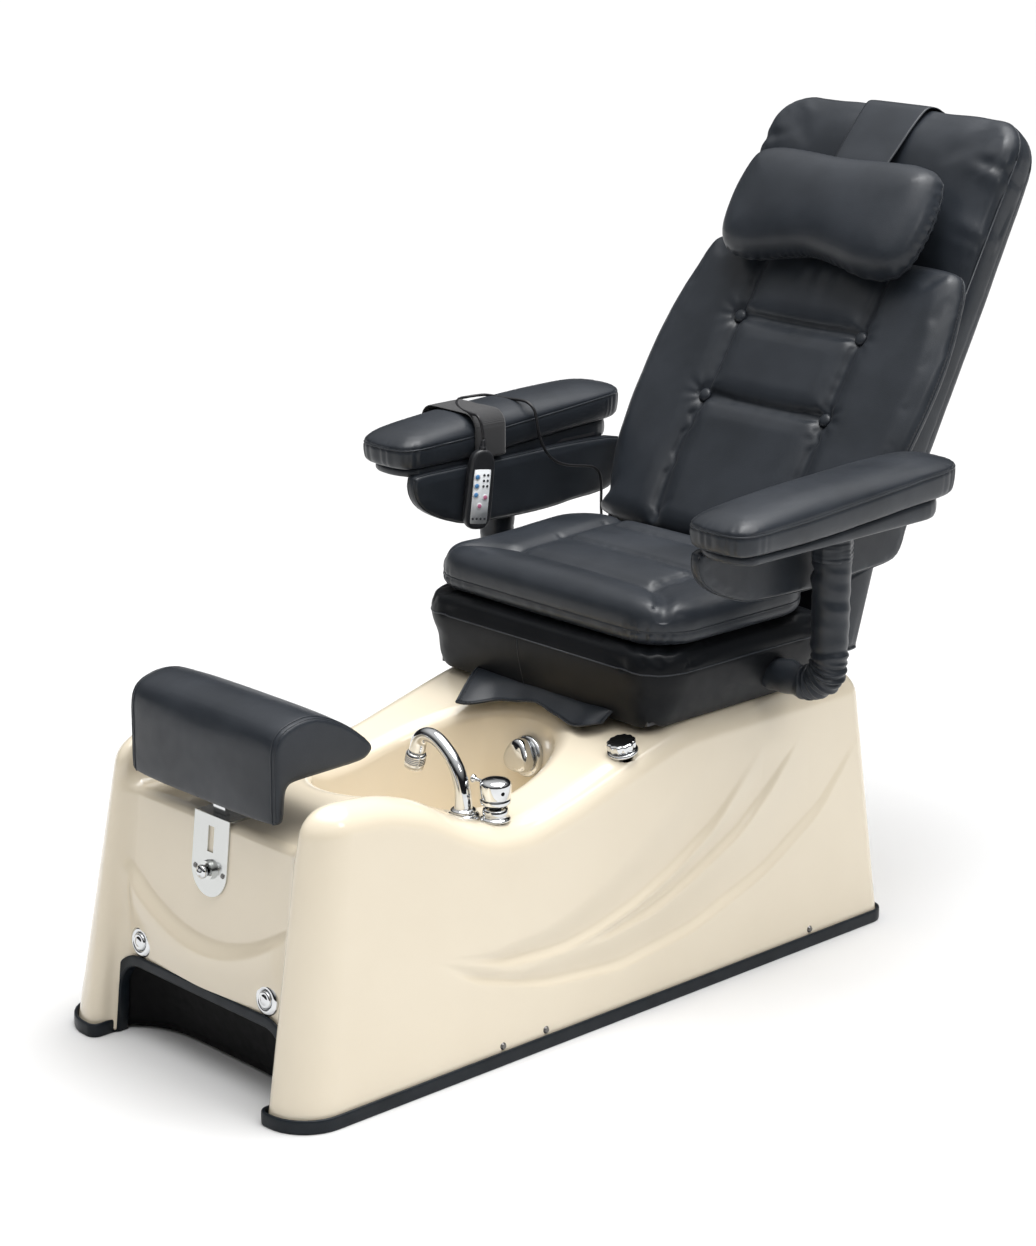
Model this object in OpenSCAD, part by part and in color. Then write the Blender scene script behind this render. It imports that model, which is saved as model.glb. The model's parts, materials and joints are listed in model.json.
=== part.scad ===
// Pedicure spa chair: a moulded foot-bath base, an adjustable footrest, taps and water-jet fittings,
// and an upholstered chair on slide rails with a reclining back, lifting armrests and a hung pillow.
// +X is the sitter's left as seen from the front, the sitter faces -Y, +Z is up.
// The origin is on the floor at the centre of the base's footprint. Millimetres.

/* [Base] */
// Length of the base along Y at the floor
base_l = 1280; // [1270:5:1290]
// Width of the base at the floor
base_w = 598; // [592:2:604]
// Height of the rear deck that carries the seat
deck_z = 445; // [443:1:446]
// Thickness of the moulded shell
wall = 6; // [5:0.5:7]

/* [Basin] */
// Height of the basin floor above the ground
basin_floor = 150; // [148:2:160]
// Half length of the basin opening along Y
basin_ry = 225; // [215:5:228]
// Half width of the basin opening
basin_rx = 160; // [150:2:162]

/* [Chair] */
// Lean of the back from the vertical in degrees
back_lean = 34; // [33:0.5:35]
// Width of the seat cushion
cushion_w = 576; // [560:4:580]
// Height of the underside of the arm pads
arm_z = 755; // [752:1:760]
// Width of an arm pad
pad_w = 134; // [128:2:136]

/* [Footrest] */
// Width of the footrest cushion
footrest_w = 356; // [320:4:360]
// Upward travel of the footrest post
footrest_travel = 100; // [80:5:100]

/* [Hidden] */
$fn = 48;

cream = [0.92, 0.87, 0.77];
black = [0.11, 0.12, 0.14];
rubber = [0.06, 0.08, 0.10];
chrome = [0.80, 0.81, 0.82];
steel = [0.45, 0.46, 0.48];
pipe_white = [0.86, 0.86, 0.84];

// Base outline
front_y = -base_l / 2;
rear_y = base_l / 2;
half_w = base_w / 2;
draft_z = 470;            // height at which the upper outline of the drafted walls is given
front_draft = 73;         // how far the walls come in by that height
rear_draft = 40;
side_draft = 36;
front_corner = 70;
rear_corner = 28;
trim_h = 22;
trim_t = 5;
foot_t = 4;
screw_z = 29;                            // screws low on the side walls
screw_ys = [-240, -150, 455];
inlet_x = 60;
inlet_z = 90;
inlet_r = 10.5;

// Front wall, set back between the two legs
recess_half = 208;
recess_y0 = front_y + 44;                // its face at the floor
recess_lean = 6.2;                       // degrees from the vertical
ledge_z = 398;
ledge_rear = -275;                       // where the ledge has met the falling crest
function recess_y(z) = recess_y0 + z * tan(recess_lean);
arch_half = 200;
arch_top = 120;
arch_r = 45;
toe_lean = 14;                           // the dark panel behind the opening leans out as it rises
toe_depth = 62;
button_p = [154, 161];                   // air buttons on the wall, as [x, z]

// Crest line of the side walls, from the front horn to the rear, as [y, z]
crest = [[front_y + 64, 436], [-545, 460], [-500, 467], [-430, 462], [-355, 438], [-285, 394], [-220, 365],
         [-150, 362], [-60, 380], [40, 408], [120, 430], [190, deck_z], [548, deck_z], [582, 430],
         [604, 395], [616, 340]];

// Basin
basin_y = -115;
basin_rim_z = 400;
basin_lean = 8.7;                        // of the basin's rear wall
suction_p = [68.5, 200];                 // suction fitting on that wall, as [y, z]
suction_r = 15;
jet_z = 215;
jet_dy = 80;                              // jets fore and aft of the basin's centre
jet_x = 120.2;                           // its wall there
jet_turn = 17.7;                         // and the wall's turn from straight across
jet_lean = 7.4;
jet_r = 11;

// Taps on the ledge by the sitter's left
tap_z = 364;
tap_seat_r = 26;
spout_p = [183, -217];
mixer_p = [226, -190];
spout_r = 9;
spout_bend = 55;
spout_rise = 44;
mixer_r = 21;
mixer_tilt_z = tap_z + 37;
lever_reach = 32;
lever_a = 193;

// Air control on the sloping rim and the overflow control on the basin's rear wall
air_y = 70;
air_x = 238;
air_slope = atan((crest[10][1] - crest[9][1]) / (crest[10][0] - crest[9][0]));
air_z = crest[9][1] + (air_y - crest[9][0]) * tan(air_slope);
overflow_z = 345;
overflow_y = 90;
overflow_tilt = 10;

// Footrest post and its lock
post_y = -538;
post_w = 28;
post_t = 8;
guide_gap = 0.15;
lock_z = 318;
lock_pitch = 25;
plate_w = 84;
plate_screw_x = 33;
board_z = 482;
pin_r = 4;

// Seat and slides
rail_x = 225;
rail_w = 24;
rail_h = 12;
slide_gap = 0.3;
pan_z0 = 457;
pan_z1 = 568;
pan_half = 294;
pan_front = 92;
pan_rear = 498;
cushion_z0 = pan_z1 + 1;
cushion_z1 = 646;

// Recline axis, in the chair's frame and in the back's own frame
pivot_y = 535;
pivot_z = 625;
back_y = 496;
back_z = 620;
hinge_x = 240;
hinge_t = 6;
pin_hinge_r = 8;
frame_x = 200;                           // uprights of the frame in the back
frame_n = 54;
// the recline axis in the back's own frame
hub_n = (pivot_y - back_y) * cos(back_lean) - (pivot_z - back_z) * sin(back_lean);
hub_u = (pivot_y - back_y) * sin(back_lean) + (pivot_z - back_z) * cos(back_lean);
cross_bars = [90, 400, 700];
strap_half = 58;

// Arms
post_x = 388;
arm_post_y = 380;
arm_post_r = 19;
socket_z = 487;
arm_pivot_z = 720;
arm_pin_r = 6;
arm_bend = 50;                           // centre-line radius of the post's elbow
sleeve_t = 10;
panel_x = 318;
panel_t = 24;
pad_x = 316;
run_gap = 0.05;
seat_gap = 0.03;                         // under a screw's head

// Remote on the sitter's right arm
remote_x = -298;
remote_y = 264;
remote_top = 779;
remote_l = 142;
remote_w = 50;
remote_t = 16;
remote_lean = 6;
remote_turn = 15;                        // its keys face a little forwards
strap_top = 829;
cord_r = 2.5;
// Route of the remote's cord, from the grommet on the hinge plate to the remote's strain relief
cord_route = [[-250, 532, 600], [-264, 532, 600], [-278, 534, 604], [-289, 538, 618], [-296, 544, 640],
              [-301, 549, 664], [-304, 548, 686], [-306, 536, 699], [-307, 516, 705], [-307, 494, 709],
              [-307, 472, 714], [-307, 450, 722], [-307, 432, 734], [-307, 418, 750], [-307, 408, 768],
              [-307, 402, 786], [-308, 399, 806], [-312, 396, 824], [-324, 393, 834], [-340, 391, 836],
              [-358, 390, 835], [-378, 389, 834], [-400, 387, 834], [-420, 382, 834], [-434, 370, 832],
              [-439, 354, 831], [-436, 338, 832], [-427, 323, 832], [-414, 309, 832], [-399, 297, 832],
              [-381, 286, 832], [-362, 277, 832], [-344, 270, 833], [-327, 266, 833], [-312, 264, 833],
              [-303, 264, 824], [-299, 265, 808], [-298, 265.5, 794.6]];

// ---------- helpers ----------

// The drafted block of the base, grown outwards by g
module draft_block(g) {
    hull() {
        for (sx = [-1, 1])
            for (z = [0, draft_z]) {
                k = z / draft_z;
                side_x = half_w - side_draft * k;
                translate([sx * (side_x - front_corner), front_y + front_draft * k + front_corner, z])
                    cylinder(r = front_corner + g, h = 0.1, $fn = 32);
                translate([sx * (side_x - rear_corner), rear_y - rear_draft * k - rear_corner, z])
                    cylinder(r = rear_corner + g, h = 0.1, $fn = 32);
            }
    }
}

// Everything under the crest line, lowered by d
module under_crest(d) {
    rotate([90, 0, 90])
        translate([0, -d, -400])
            linear_extrude(800)
                polygon(concat([[front_y - 20, -20], [front_y - 20, crest[0][1]]], crest,
                               [[rear_y + 20, 300], [rear_y + 20, -20]]));
}

// The space in front of the front wall, moved back by d and widened by d
module front_recess(d) {
    rotate([90, 0, 90])
        translate([0, 0, -recess_half - d])
            linear_extrude(2 * (recess_half + d))
                polygon([[front_y - 60, -20], [recess_y(-20) + d, -20], [recess_y(520) + d, 520],
                         [front_y - 60, 520]]);
    translate([-recess_half - d, front_y - 60, ledge_z - d])
        cube([2 * (recess_half + d), ledge_rear - front_y + 60, 200]);
}

// The basin's space, grown by g
module basin_space(g) {
    hull() {
        translate([0, basin_y, basin_floor - g])
            resize([2 * (basin_rx - 36 + g), 2 * (basin_ry - 44 + g), 1])
                cylinder(r = 100, h = 1);
        translate([0, basin_y, basin_rim_z + 75])
            resize([2 * (basin_rx + 6 + g), 2 * (basin_ry + 6 + g), 1])
                cylinder(r = 100, h = 1);
    }
}

// Outline of the opening under the front wall, grown by g
module arch_outline(g) {
    w = arch_half + g;
    inner = arch_half - arch_r;
    translate([-w, -30])
        square([2 * w, arch_top - arch_r + 30]);
    translate([-inner, -30])
        square([2 * inner, arch_top + g + 30]);
    for (s = [-1, 1])
        translate([s * inner, arch_top - arch_r])
            circle(r = arch_r + g);
}

// Places children in the plane of the front wall: X across, Y up the wall, Z outwards
module on_front_wall() {
    translate([0, recess_y0, 0])
        rotate([90 - recess_lean, 0, 0])
            children();
}

// Height up the front wall's own plane of a point at height z
function wall_v(z) = z / cos(recess_lean);

// Places children in the back's frame: X across, Y through its thickness, Z up its length
module on_back() {
    translate([0, back_y, back_z])
        rotate([-back_lean, 0, 0])
            children();
}

module box(x0, x1, y0, y1, z0, z1) {
    translate([x0, y0, z0])
        cube([x1 - x0, y1 - y0, z1 - z0]);
}

// A rounded slab lying in XY
module slab(x0, x1, y0, y1, z0, z1, r) {
    translate([0, 0, z0])
        linear_extrude(z1 - z0) {
            translate([x0 + r, y0])
                square([x1 - x0 - 2 * r, y1 - y0]);
            translate([x0, y0 + r])
                square([x1 - x0, y1 - y0 - 2 * r]);
            for (x = [x0 + r, x1 - r])
                for (y = [y0 + r, y1 - r])
                    translate([x, y])
                        circle(r = r);
        }
}

module pipe(p, axis_rot, r, len) {
    translate(p)
        rotate(axis_rot)
            cylinder(r = r, h = len);
}

module both_sides() {
    children();
    mirror([1, 0, 0])
        children();
}

// ---------- base ----------

module base_shell() color(cream) difference() {
    intersection() {
        draft_block(0);
        under_crest(0);
        box(-400, 400, -900, 900, foot_t, 600);
    }
    front_recess(0);
    basin_space(0);
    difference() {
        intersection() {
            draft_block(-wall);
            under_crest(wall);
            box(-400, 400, -900, 900, -50, 600);
        }
        front_recess(wall);
        basin_space(wall);
    }
    on_front_wall()
        translate([0, 0, -30])
            linear_extrude(60)
                arch_outline(0);
    // holes for the air buttons
    for (s = [-1, 1])
        on_front_wall()
            translate([s * button_p[0], wall_v(button_p[1]), -30])
                cylinder(r = 16.5, h = 60);
    // post slot, lock hole and window
    box(-post_w / 2 - 3, post_w / 2 + 3, post_y - 8, post_y + 8, ledge_z - 20, ledge_z + 20);
    box(-7, 7, -575, post_y, 345, 385);
    pipe([0, post_y, lock_z], [90, 0, 0], 9, 60);
    // tap, air valve, overflow and drain holes
    pipe([spout_p[0], spout_p[1], 340], [0, 0, 0], 12, 60);
    pipe([mixer_p[0], mixer_p[1], 340], [0, 0, 0], 14, 60);
    translate([air_x, air_y, air_z])
        rotate([air_slope, 0, 0])
            translate([0, 0, -30])
                cylinder(r = 14, h = 60);
    pipe([0, overflow_y - 30, overflow_z], [-90, 0, 0], 22, 80);
    pipe([0, basin_y, basin_floor - 30], [0, 0, 0], 26, 60);
    translate([0, suction_p[0], suction_p[1]])
        rotate([90 - basin_lean, 0, 0])
            translate([0, 0, -40])
                cylinder(r = suction_r + 0.5, h = 60);
    at_jets()
        translate([0, 0, -20])
            cylinder(r = jet_r + 0.3, h = 50);
    // flat seats for the taps' flanges
    for (p = [spout_p, mixer_p])
        pipe([p[0], p[1], tap_z + 0.9], [0, 0, 0], tap_seat_r, 60);
    // side screws and rear inlets
    both_sides()
        for (y = screw_ys)
            pipe([200, y, screw_z], [0, 90, 0], 3.6, 120);
    for (x = [-inlet_x, inlet_x])
        pipe([x, 560, inlet_z], [-90, 0, 0], inlet_r + 0.3, 120);
}

module base_trim() color(rubber) {
    // sole and lip around the walls
    difference() {
        intersection() {
            draft_block(trim_t);
            box(-400, 400, -900, 900, 0, trim_h);
        }
        intersection() {
            draft_block(0);
            box(-400, 400, -900, 900, foot_t, 100);
        }
        intersection() {
            draft_block(-wall - 6);
            box(-400, 400, -900, 900, -10, 100);
        }
        box(-recess_half + 12, recess_half - 12, front_y - 40, front_y + 200, -10, 100);
        front_recess(0);
    }
    // band around the arch
    intersection() {
        on_front_wall()
            linear_extrude(4)
                difference() {
                    arch_outline(17);
                    arch_outline(0);
                }
        box(-recess_half + 1, recess_half - 1, -900, 900, 0, 600);
    }
}

module toe_panel() color(rubber) {
    translate([0, recess_y0, 0])
        rotate([90 + toe_lean, 0, 0])
            translate([-arch_half - 18, -8, -toe_depth])
                cube([2 * arch_half + 36, 140, 4]);
}

// Bars of the frame on the floor, each shrunk by t on its sides and lengthened by e at its ends
module frame_bars(t, e) {
    both_sides() {
        box(215 + t, 245 - t, -430 - e, 560 + e, 30 + t, 60 - t);
        for (y = [200, 500])
            box(215 + t, 245 - t, y + t, y + 30 - t, 60 - 2 * e, deck_z - wall - 1 + e);
    }
    for (y = [-430, 200, 530])
        box(-215 - e, 215 + e, y + t, y + 30 - t, 30 + t, 60 - t);
    for (y = [200, 500])
        box(-215 - e, 215 + e, y + t, y + 30 - t, 380 + t, 410 - t);
}

module chassis_frame() color(steel) difference() {
    frame_bars(0, 0);
    frame_bars(2, 2.5);
}

module levelling_feet() color(rubber) {
    for (sx = [-1, 1])
        for (y = [-400, 545])
            translate([sx * 230, y, 0]) {
                cylinder(r = 22, h = 10);
                cylinder(r = 6, h = 30);
            }
}

module panel_screws() color(chrome) {
    both_sides()
        for (y = screw_ys)
            translate([half_w - screw_z * side_draft / draft_z + seat_gap, y, screw_z])
                rotate([0, 90 - atan(side_draft / draft_z), 0]) {
                    cylinder(r1 = 6, r2 = 4, h = 2.6);
                    translate([0, 0, -12])
                        cylinder(r = 2.5, h = 12.5);
                }
    for (s = [-1, 1])
        on_front_wall()
            translate([s * plate_screw_x, wall_v(lock_z - 2), 3]) {
                cylinder(r1 = 4.5, r2 = 3, h = 2);
                translate([0, 0, -2.9])
                    cylinder(r = 2, h = 3);
            }
}

module circulation_pump() color(steel) {
    pipe([-60, 330, 120], [0, 90, 0], 58, 150);
    pipe([90, 330, 120], [0, 90, 0], 70, 50);
    box(-40, 70, 290, 370, 60.5, 64);
}

module water_pipes() color(pipe_white) {
    // suction line from the basin to the pump, pressure line back to the jets
    pipe([0, 97, 195.5], [-90, 0, 0], 16, 175);
    pipe([115, 395, 215], [0, -90, 0], 14, 170);
    both_sides()
        pipe([190, -250, 215], [-90, 0, 0], 12, 400);
}

// Places children on the basin's wall at each jet, Z pointing out of the basin
module at_jets() {
    both_sides()
        for (d = [-1, 1])
            translate([jet_x, basin_y + d * jet_dy, jet_z])
                rotate([0, 90 + jet_lean, d * jet_turn])
                    children();
}

module jet_fittings() color(chrome) at_jets() {
    translate([0, 0, -7])
        cylinder(r = 17, h = 5.8);
    translate([0, 0, -2])
        cylinder(r = jet_r, h = 40);
}

module suction_cover() color(chrome) {
    translate([0, suction_p[0], suction_p[1]])
        rotate([90 - basin_lean, 0, 0])
            difference() {
                union() {
                    cylinder(r = 28, h = 5);
                    translate([0, 0, -24])
                        cylinder(r = suction_r, h = 25);
                }
                for (a = [0:45:315])
                    rotate(a)
                        translate([21, 0, -1])
                            cylinder(r = 3, h = 8, $fn = 16);
            }
}

module drain_flange() color(chrome) {
    translate([0, basin_y, basin_floor])
        difference() {
            union() {
                cylinder(r = 35, h = 3);
                translate([0, 0, -40])
                    cylinder(r = 25, h = 41);
            }
            translate([0, 0, -41])
                cylinder(r = 20, h = 60);
        }
}

module drain_tailpipe() color(pipe_white) {
    translate([0, basin_y, 24])
        difference() {
            cylinder(r = 20, h = basin_floor - 40 - 24);
            translate([0, 0, -1])
                cylinder(r = 17.5, h = 200);
        }
}

module overflow_frame() {
    translate([0, overflow_y, overflow_z])
        rotate([90 - overflow_tilt, 0, 0])
            children();
}

module overflow_body() color(chrome) overflow_frame() {
    difference() {
        union() {
            cylinder(r = 33, h = 8);
            translate([0, 0, -40])
                cylinder(r = 19, h = 41);
        }
        translate([0, 0, -20])
            cylinder(r = 8, h = 60);
    }
}

module overflow_knob() color(chrome) overflow_frame() {
    translate([0, 0, 8.5]) {
        cylinder(r = 24, h = 20);
        for (a = [0:120:240])
            rotate(a)
                translate([17, 0, 0])
                    cylinder(r = 13, h = 24);
    }
    translate([0, 0, -15])
        cylinder(r = 8 - run_gap, h = 26);
}

module drain_plug() color(chrome) {
    translate([0, basin_y, basin_floor + 3.2]) {
        cylinder(r = 24, h = 4);
        translate([0, 0, -40])
            cylinder(r = 4, h = 41);
    }
}

module air_frame() {
    translate([air_x, air_y, air_z])
        rotate([air_slope, 0, 0])
            children();
}

module air_valve_body() color(chrome) air_frame() {
    difference() {
        union() {
            cylinder(r = 25, h = 4);
            translate([0, 0, -40])
                cylinder(r = 13.5, h = 41);
        }
        translate([0, 0, -20])
            cylinder(r = 6, h = 40);
    }
}

module air_knob() color(chrome) air_frame() {
    translate([0, 0, 4.4]) {
        cylinder(r = 21, h = 14);
        for (a = [0:30:330])
            rotate(a)
                translate([20, 0, 0])
                    cylinder(r = 3.5, h = 14, $fn = 24);
    }
    translate([0, 0, -15])
        cylinder(r = 6 - run_gap, h = 20);
}

module button_bezels() color(chrome) {
    for (s = [-1, 1])
        on_front_wall()
            translate([s * button_p[0], wall_v(button_p[1]), 0])
                difference() {
                    union() {
                        cylinder(r1 = 25, r2 = 19, h = 6);
                        translate([0, 0, -30])
                            cylinder(r = 16, h = 31);
                    }
                    translate([0, 0, -24])
                        cylinder(r = 14, h = 40);
                }
}

module air_button(s) color(chrome) {
    on_front_wall()
        translate([s * button_p[0], wall_v(button_p[1]), 0]) {
            translate([0, 0, -16])
                cylinder(r = 14 - run_gap, h = 25);
            translate([0, 0, 8])
                cylinder(r1 = 13, r2 = 9, h = 3);
        }
}

module spout_escutcheon() color(chrome) {
    translate([spout_p[0], spout_p[1], tap_z + 1]) {
        difference() {
            union() {
                cylinder(r1 = 25, r2 = 20, h = 7);
                translate([0, 0, -50])
                    cylinder(r = 11, h = 52);
            }
            translate([0, 0, -30])
                cylinder(r = 7, h = 60);
        }
    }
}

// The spout rises, bends over the basin and ends in a socket for the nozzle
module spout() color(chrome) {
    translate([spout_p[0], spout_p[1], tap_z + 8.4]) {
        cylinder(r1 = 14, r2 = 12, h = 16);
        translate([0, 0, -28])
            cylinder(r = 7 - run_gap, h = 30);
        cylinder(r = spout_r, h = spout_rise);
        translate([-spout_bend, 0, spout_rise])
            rotate([90, 0, 0])
                rotate_extrude(angle = 150)
                    translate([spout_bend, 0])
                        circle(r = spout_r);
    }
}

module nozzle_frame() {
    translate([spout_p[0] - spout_bend, spout_p[1], tap_z + 8.4 + spout_rise])
        rotate([0, -150, 0])
            translate([spout_bend, 0, 0])
                children();
}

module spray_nozzle() color(chrome) nozzle_frame() {
    translate([0, 0, 2.8])
        cylinder(r = 15, h = 23.2);
    translate([0, 0, 25])
        cylinder(r = 12, h = 4);
}

module mixer_body() color(chrome) {
    translate([mixer_p[0], mixer_p[1], tap_z + 1]) {
        difference() {
            union() {
                cylinder(r = 22, h = 3);
                cylinder(r = mixer_r - 1, h = 18);
                translate([0, 0, -60])
                    cylinder(r = 13, h = 62);
            }
            translate([0, 0, -30])
                cylinder(r = 9, h = 60);
        }
    }
}

module mixer_spindle() color(steel) {
    translate([mixer_p[0], mixer_p[1], 0])
        difference() {
            union() {
                translate([0, 0, tap_z - 20])
                    cylinder(r = 9 - run_gap, h = 57);
                translate([0, 0, mixer_tilt_z])
                    sphere(r = 9);
            }
            translate([0, 0, mixer_tilt_z])
                rotate([90, 0, lever_a])
                    translate([0, 0, -20])
                        cylinder(r = 2, h = 40);
        }
}

module mixer_handle() color(chrome) {
    translate([mixer_p[0], mixer_p[1], 0]) {
        difference() {
            translate([0, 0, tap_z + 26])
                cylinder(r = mixer_r + 1, h = 44);
            translate([0, 0, tap_z + 20])
                cylinder(r = 14, h = 42);
        }
        translate([0, 0, mixer_tilt_z])
            rotate([90, 0, lever_a])
                translate([0, 0, -15])
                    cylinder(r = 2 - run_gap, h = 30);
        rotate(lever_a)
            translate([20, 0, tap_z + 56]) {
                rotate([0, 84, 0])
                    cylinder(r = 3, h = lever_reach - 20);
                translate([lever_reach - 20, 0, 1.5])
                    sphere(r = 6);
            }
    }
}

module supply_inlets() color([0.75, 0.60, 0.30]) {
    for (x = [-inlet_x, inlet_x])
        translate([x, 596, inlet_z])
            rotate([-90, 0, 0])
                difference() {
                    union() {
                        cylinder(r = inlet_r - 0.4, h = 70);
                        translate([0, 0, 41])
                            cylinder(r = inlet_r, h = 29);
                        translate([0, 0, 12])
                            cylinder(r = 18, h = 12, $fn = 6);
                    }
                    translate([0, 0, -1])
                        cylinder(r = 7.5, h = 80);
                }
}

module slide_rails() color(chrome) {
    both_sides()
        box(rail_x - rail_w / 2, rail_x + rail_w / 2, 195, 500, deck_z, deck_z + rail_h);
}

// ---------- footrest ----------

module footrest_bracket() color(chrome) {
    difference() {
        union() {
            on_front_wall()
                linear_extrude(3) {
                    translate([-plate_w / 2, wall_v(lock_z)])
                        square([plate_w, wall_v(ledge_z + 3.2) - wall_v(lock_z)]);
                    translate([0, wall_v(lock_z)])
                        circle(r = plate_w / 2);
                }
            box(-plate_w / 2, plate_w / 2, recess_y(ledge_z) - 3, -500, ledge_z, ledge_z + 3);
            pipe([0, recess_y(lock_z) - 1.7, lock_z], [90, 0, 0], 15, 7.3);
        }
        box(-post_w / 2 - 1, post_w / 2 + 1, post_y - 5, post_y + 5, ledge_z - 10, ledge_z + 10);
        box(-7, 7, -590, post_y, 345, 385);
        pipe([0, post_y, lock_z], [90, 0, 0], 8.5, 80);
        for (s = [-1, 1])
            on_front_wall()
                translate([s * plate_screw_x, wall_v(lock_z - 2), -1])
                    cylinder(r = 2.2, h = 5);
    }
}

module post_guide() color(steel) {
    difference() {
        box(-post_w / 2 - 4, post_w / 2 + 4, post_y - 8, post_y + 8, 190, ledge_z - wall - 1);
        box(-post_w / 2 - guide_gap, post_w / 2 + guide_gap,
            post_y - post_t / 2 - guide_gap, post_y + post_t / 2 + guide_gap, 180, 500);
        box(-9, 9, post_y - 20, post_y, 340, 500);
        pipe([0, post_y, lock_z], [90, 0, 0], 8.5, 30);
    }
}

module lock_spring() color(steel) {
    translate([0, recess_y(lock_z) + 1, lock_z])
        rotate([90, 0, 0])
            difference() {
                cylinder(r = 8, h = 8);
                translate([0, 0, -1])
                    cylinder(r = 5.5, h = 12);
            }
}

module lock_knob() color(chrome) {
    translate([0, post_y - post_t / 2 - 0.4, lock_z])
        rotate([90, 0, 0]) {
            cylinder(r = pin_r, h = 32);
            translate([0, 0, 30])
                cylinder(r = 11, h = 9);
            translate([0, 0, 38.5])
                cylinder(r1 = 11, r2 = 6, h = 6);
        }
}

module footrest_post() color(chrome) {
    difference() {
        box(-post_w / 2, post_w / 2, post_y - post_t / 2, post_y + post_t / 2, 203, board_z);
        for (i = [0:floor(footrest_travel / lock_pitch)])
            pipe([0, post_y + 10, lock_z - i * lock_pitch], [90, 0, 0], pin_r + 0.3, 20);
        for (i = [0:3])
            box(-3, 3, post_y - post_t, post_y, 350 + i * 14, 356 + i * 14);
    }
}

module footrest_board() color(steel) {
    box(-140, 140, -543, -405, board_z, board_z + 8);
}

module footrest_cushion() color(black) {
    rotate([90, 0, 90])
        translate([0, 0, -footrest_w / 2])
            linear_extrude(footrest_w)
                polygon([[-578, 436], [-576, 548], [-568, 568], [-550, 582], [-522, 589], [-494, 588],
                         [-465, 578], [-438, 564], [-408, 542], [-387, 524], [-383, 513], [-388, 502],
                         [-404, board_z + 8.5], [-545, board_z + 8.5], [-547, 470], [-552, 436], [-562, 430],
                         [-572, 430]]);
}

// ---------- seat ----------

module seat_carriage() color(steel) {
    both_sides() {
        difference() {
            box(rail_x - 17, rail_x + 17, 120, 560, deck_z + 1, deck_z + 20);
            box(rail_x - rail_w / 2 - slide_gap, rail_x + rail_w / 2 + slide_gap, 100, 600,
                deck_z - 5, deck_z + rail_h + slide_gap);
        }
        // hinge plates of the back
        difference() {
            union() {
                box(hinge_x, hinge_x + hinge_t, 510, 560, deck_z + 15, pivot_z);
                translate([hinge_x, pivot_y, pivot_z])
                    rotate([0, 90, 0])
                        cylinder(r = 23, h = hinge_t);
            }
            translate([hinge_x - 10, pivot_y, pivot_z])
                rotate([0, 90, 0])
                    cylinder(r = pin_hinge_r, h = 40);
        }
    }
    for (y = [130, 530])
        box(-rail_x + 17, rail_x - 17, y, y + 25, deck_z + 14, deck_z + 20);
    difference() {
        union() {
            pipe([-238, arm_post_y, socket_z], [0, 90, 0], 23, 476);
            both_sides()
                box(rail_x - 15, rail_x + 10, arm_post_y - 15, arm_post_y + 15, deck_z + 18, deck_z + 26);
        }
        pipe([-260, arm_post_y, socket_z], [0, 90, 0], arm_post_r, 520);
    }
}

module seat_base() color(black) {
    difference() {
        intersection() {
            rotate([90, 0, 90])
                translate([0, 0, -400])
                    linear_extrude(800)
                        polygon([[pan_front + 6, pan_z0 + 26], [pan_front, pan_z0 + 70],
                                 [pan_front + 4, pan_z1 - 10], [pan_front + 14, pan_z1],
                                 [pan_rear, pan_z1], [pan_rear, pan_z0],
                                 [pan_front + 60, pan_z0], [pan_front + 20, pan_z0 + 6]]);
            rotate([90, 0, 0])
                translate([0, 0, -600])
                    linear_extrude(600)
                        polygon([[-pan_half + 28, pan_z0], [pan_half - 28, pan_z0], [pan_half, pan_z0 + 62],
                                 [pan_half - 4, pan_z1], [-pan_half + 4, pan_z1], [-pan_half, pan_z0 + 62]]);
            slab(-pan_half, pan_half, pan_front, pan_rear + 60, 400, 600, 45);
        }
        box(-rail_x - 20, rail_x + 20, 115, 600, 400, deck_z + 21);
        box(-400, 400, arm_post_y - 30, arm_post_y + 30, 400, socket_z + 30);
    }
}

module seat_cushion() color(black) {
    slab(-cushion_w / 2, cushion_w / 2, 106, 487, cushion_z0, cushion_z0 + 46, 50);
    slab(-cushion_w / 2 + 22, cushion_w / 2 - 22, 126, 470, cushion_z0 + 46, cushion_z1, 50);
}

// Splash flap, hung from the inside of the pan's front lip and sloping down over the rim
module front_flap() color(black) {
    hull() {
        box(-140, 165, 113, 117.5, 452, 454.5);
        box(-104, 165, 74, 78, 434, 437);
    }
    box(-140, 165, 115.2, 117.5, 452, 465.5);
}

// A round bar of radius r that runs out of the seat at x0, turns up and ends at z1
module arm_run(r, x0, z1) {
    turn_x = post_x - arm_bend;
    turn_z = socket_z + arm_bend;
    pipe([post_x, arm_post_y, turn_z], [0, 0, 0], r, z1 - turn_z);
    translate([turn_x, arm_post_y, turn_z])
        rotate([90, 0, 0])
            rotate([0, 0, -90])
                rotate_extrude(angle = 90)
                    translate([arm_bend, 0])
                        circle(r = r);
    pipe([x0, arm_post_y, socket_z], [0, 90, 0], r, turn_x - x0);
}

module arm_posts() color(steel) {
    both_sides()
        difference() {
            union() {
                arm_run(arm_post_r, hinge_x - 40, arm_pivot_z);
                pipe([post_x - arm_post_r, arm_post_y, arm_pivot_z], [0, 90, 0], arm_post_r, 2 * arm_post_r);
            }
            pipe([post_x - 60, arm_post_y, arm_pivot_z], [0, 90, 0], arm_pin_r, 120);
        }
}

module arm_sleeves() color(black) {
    both_sides()
        difference() {
            arm_run(arm_post_r + sleeve_t, hinge_x + 12, socket_z + 210);
            arm_run(arm_post_r, hinge_x - 40, arm_pivot_z);
        }
}

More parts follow.
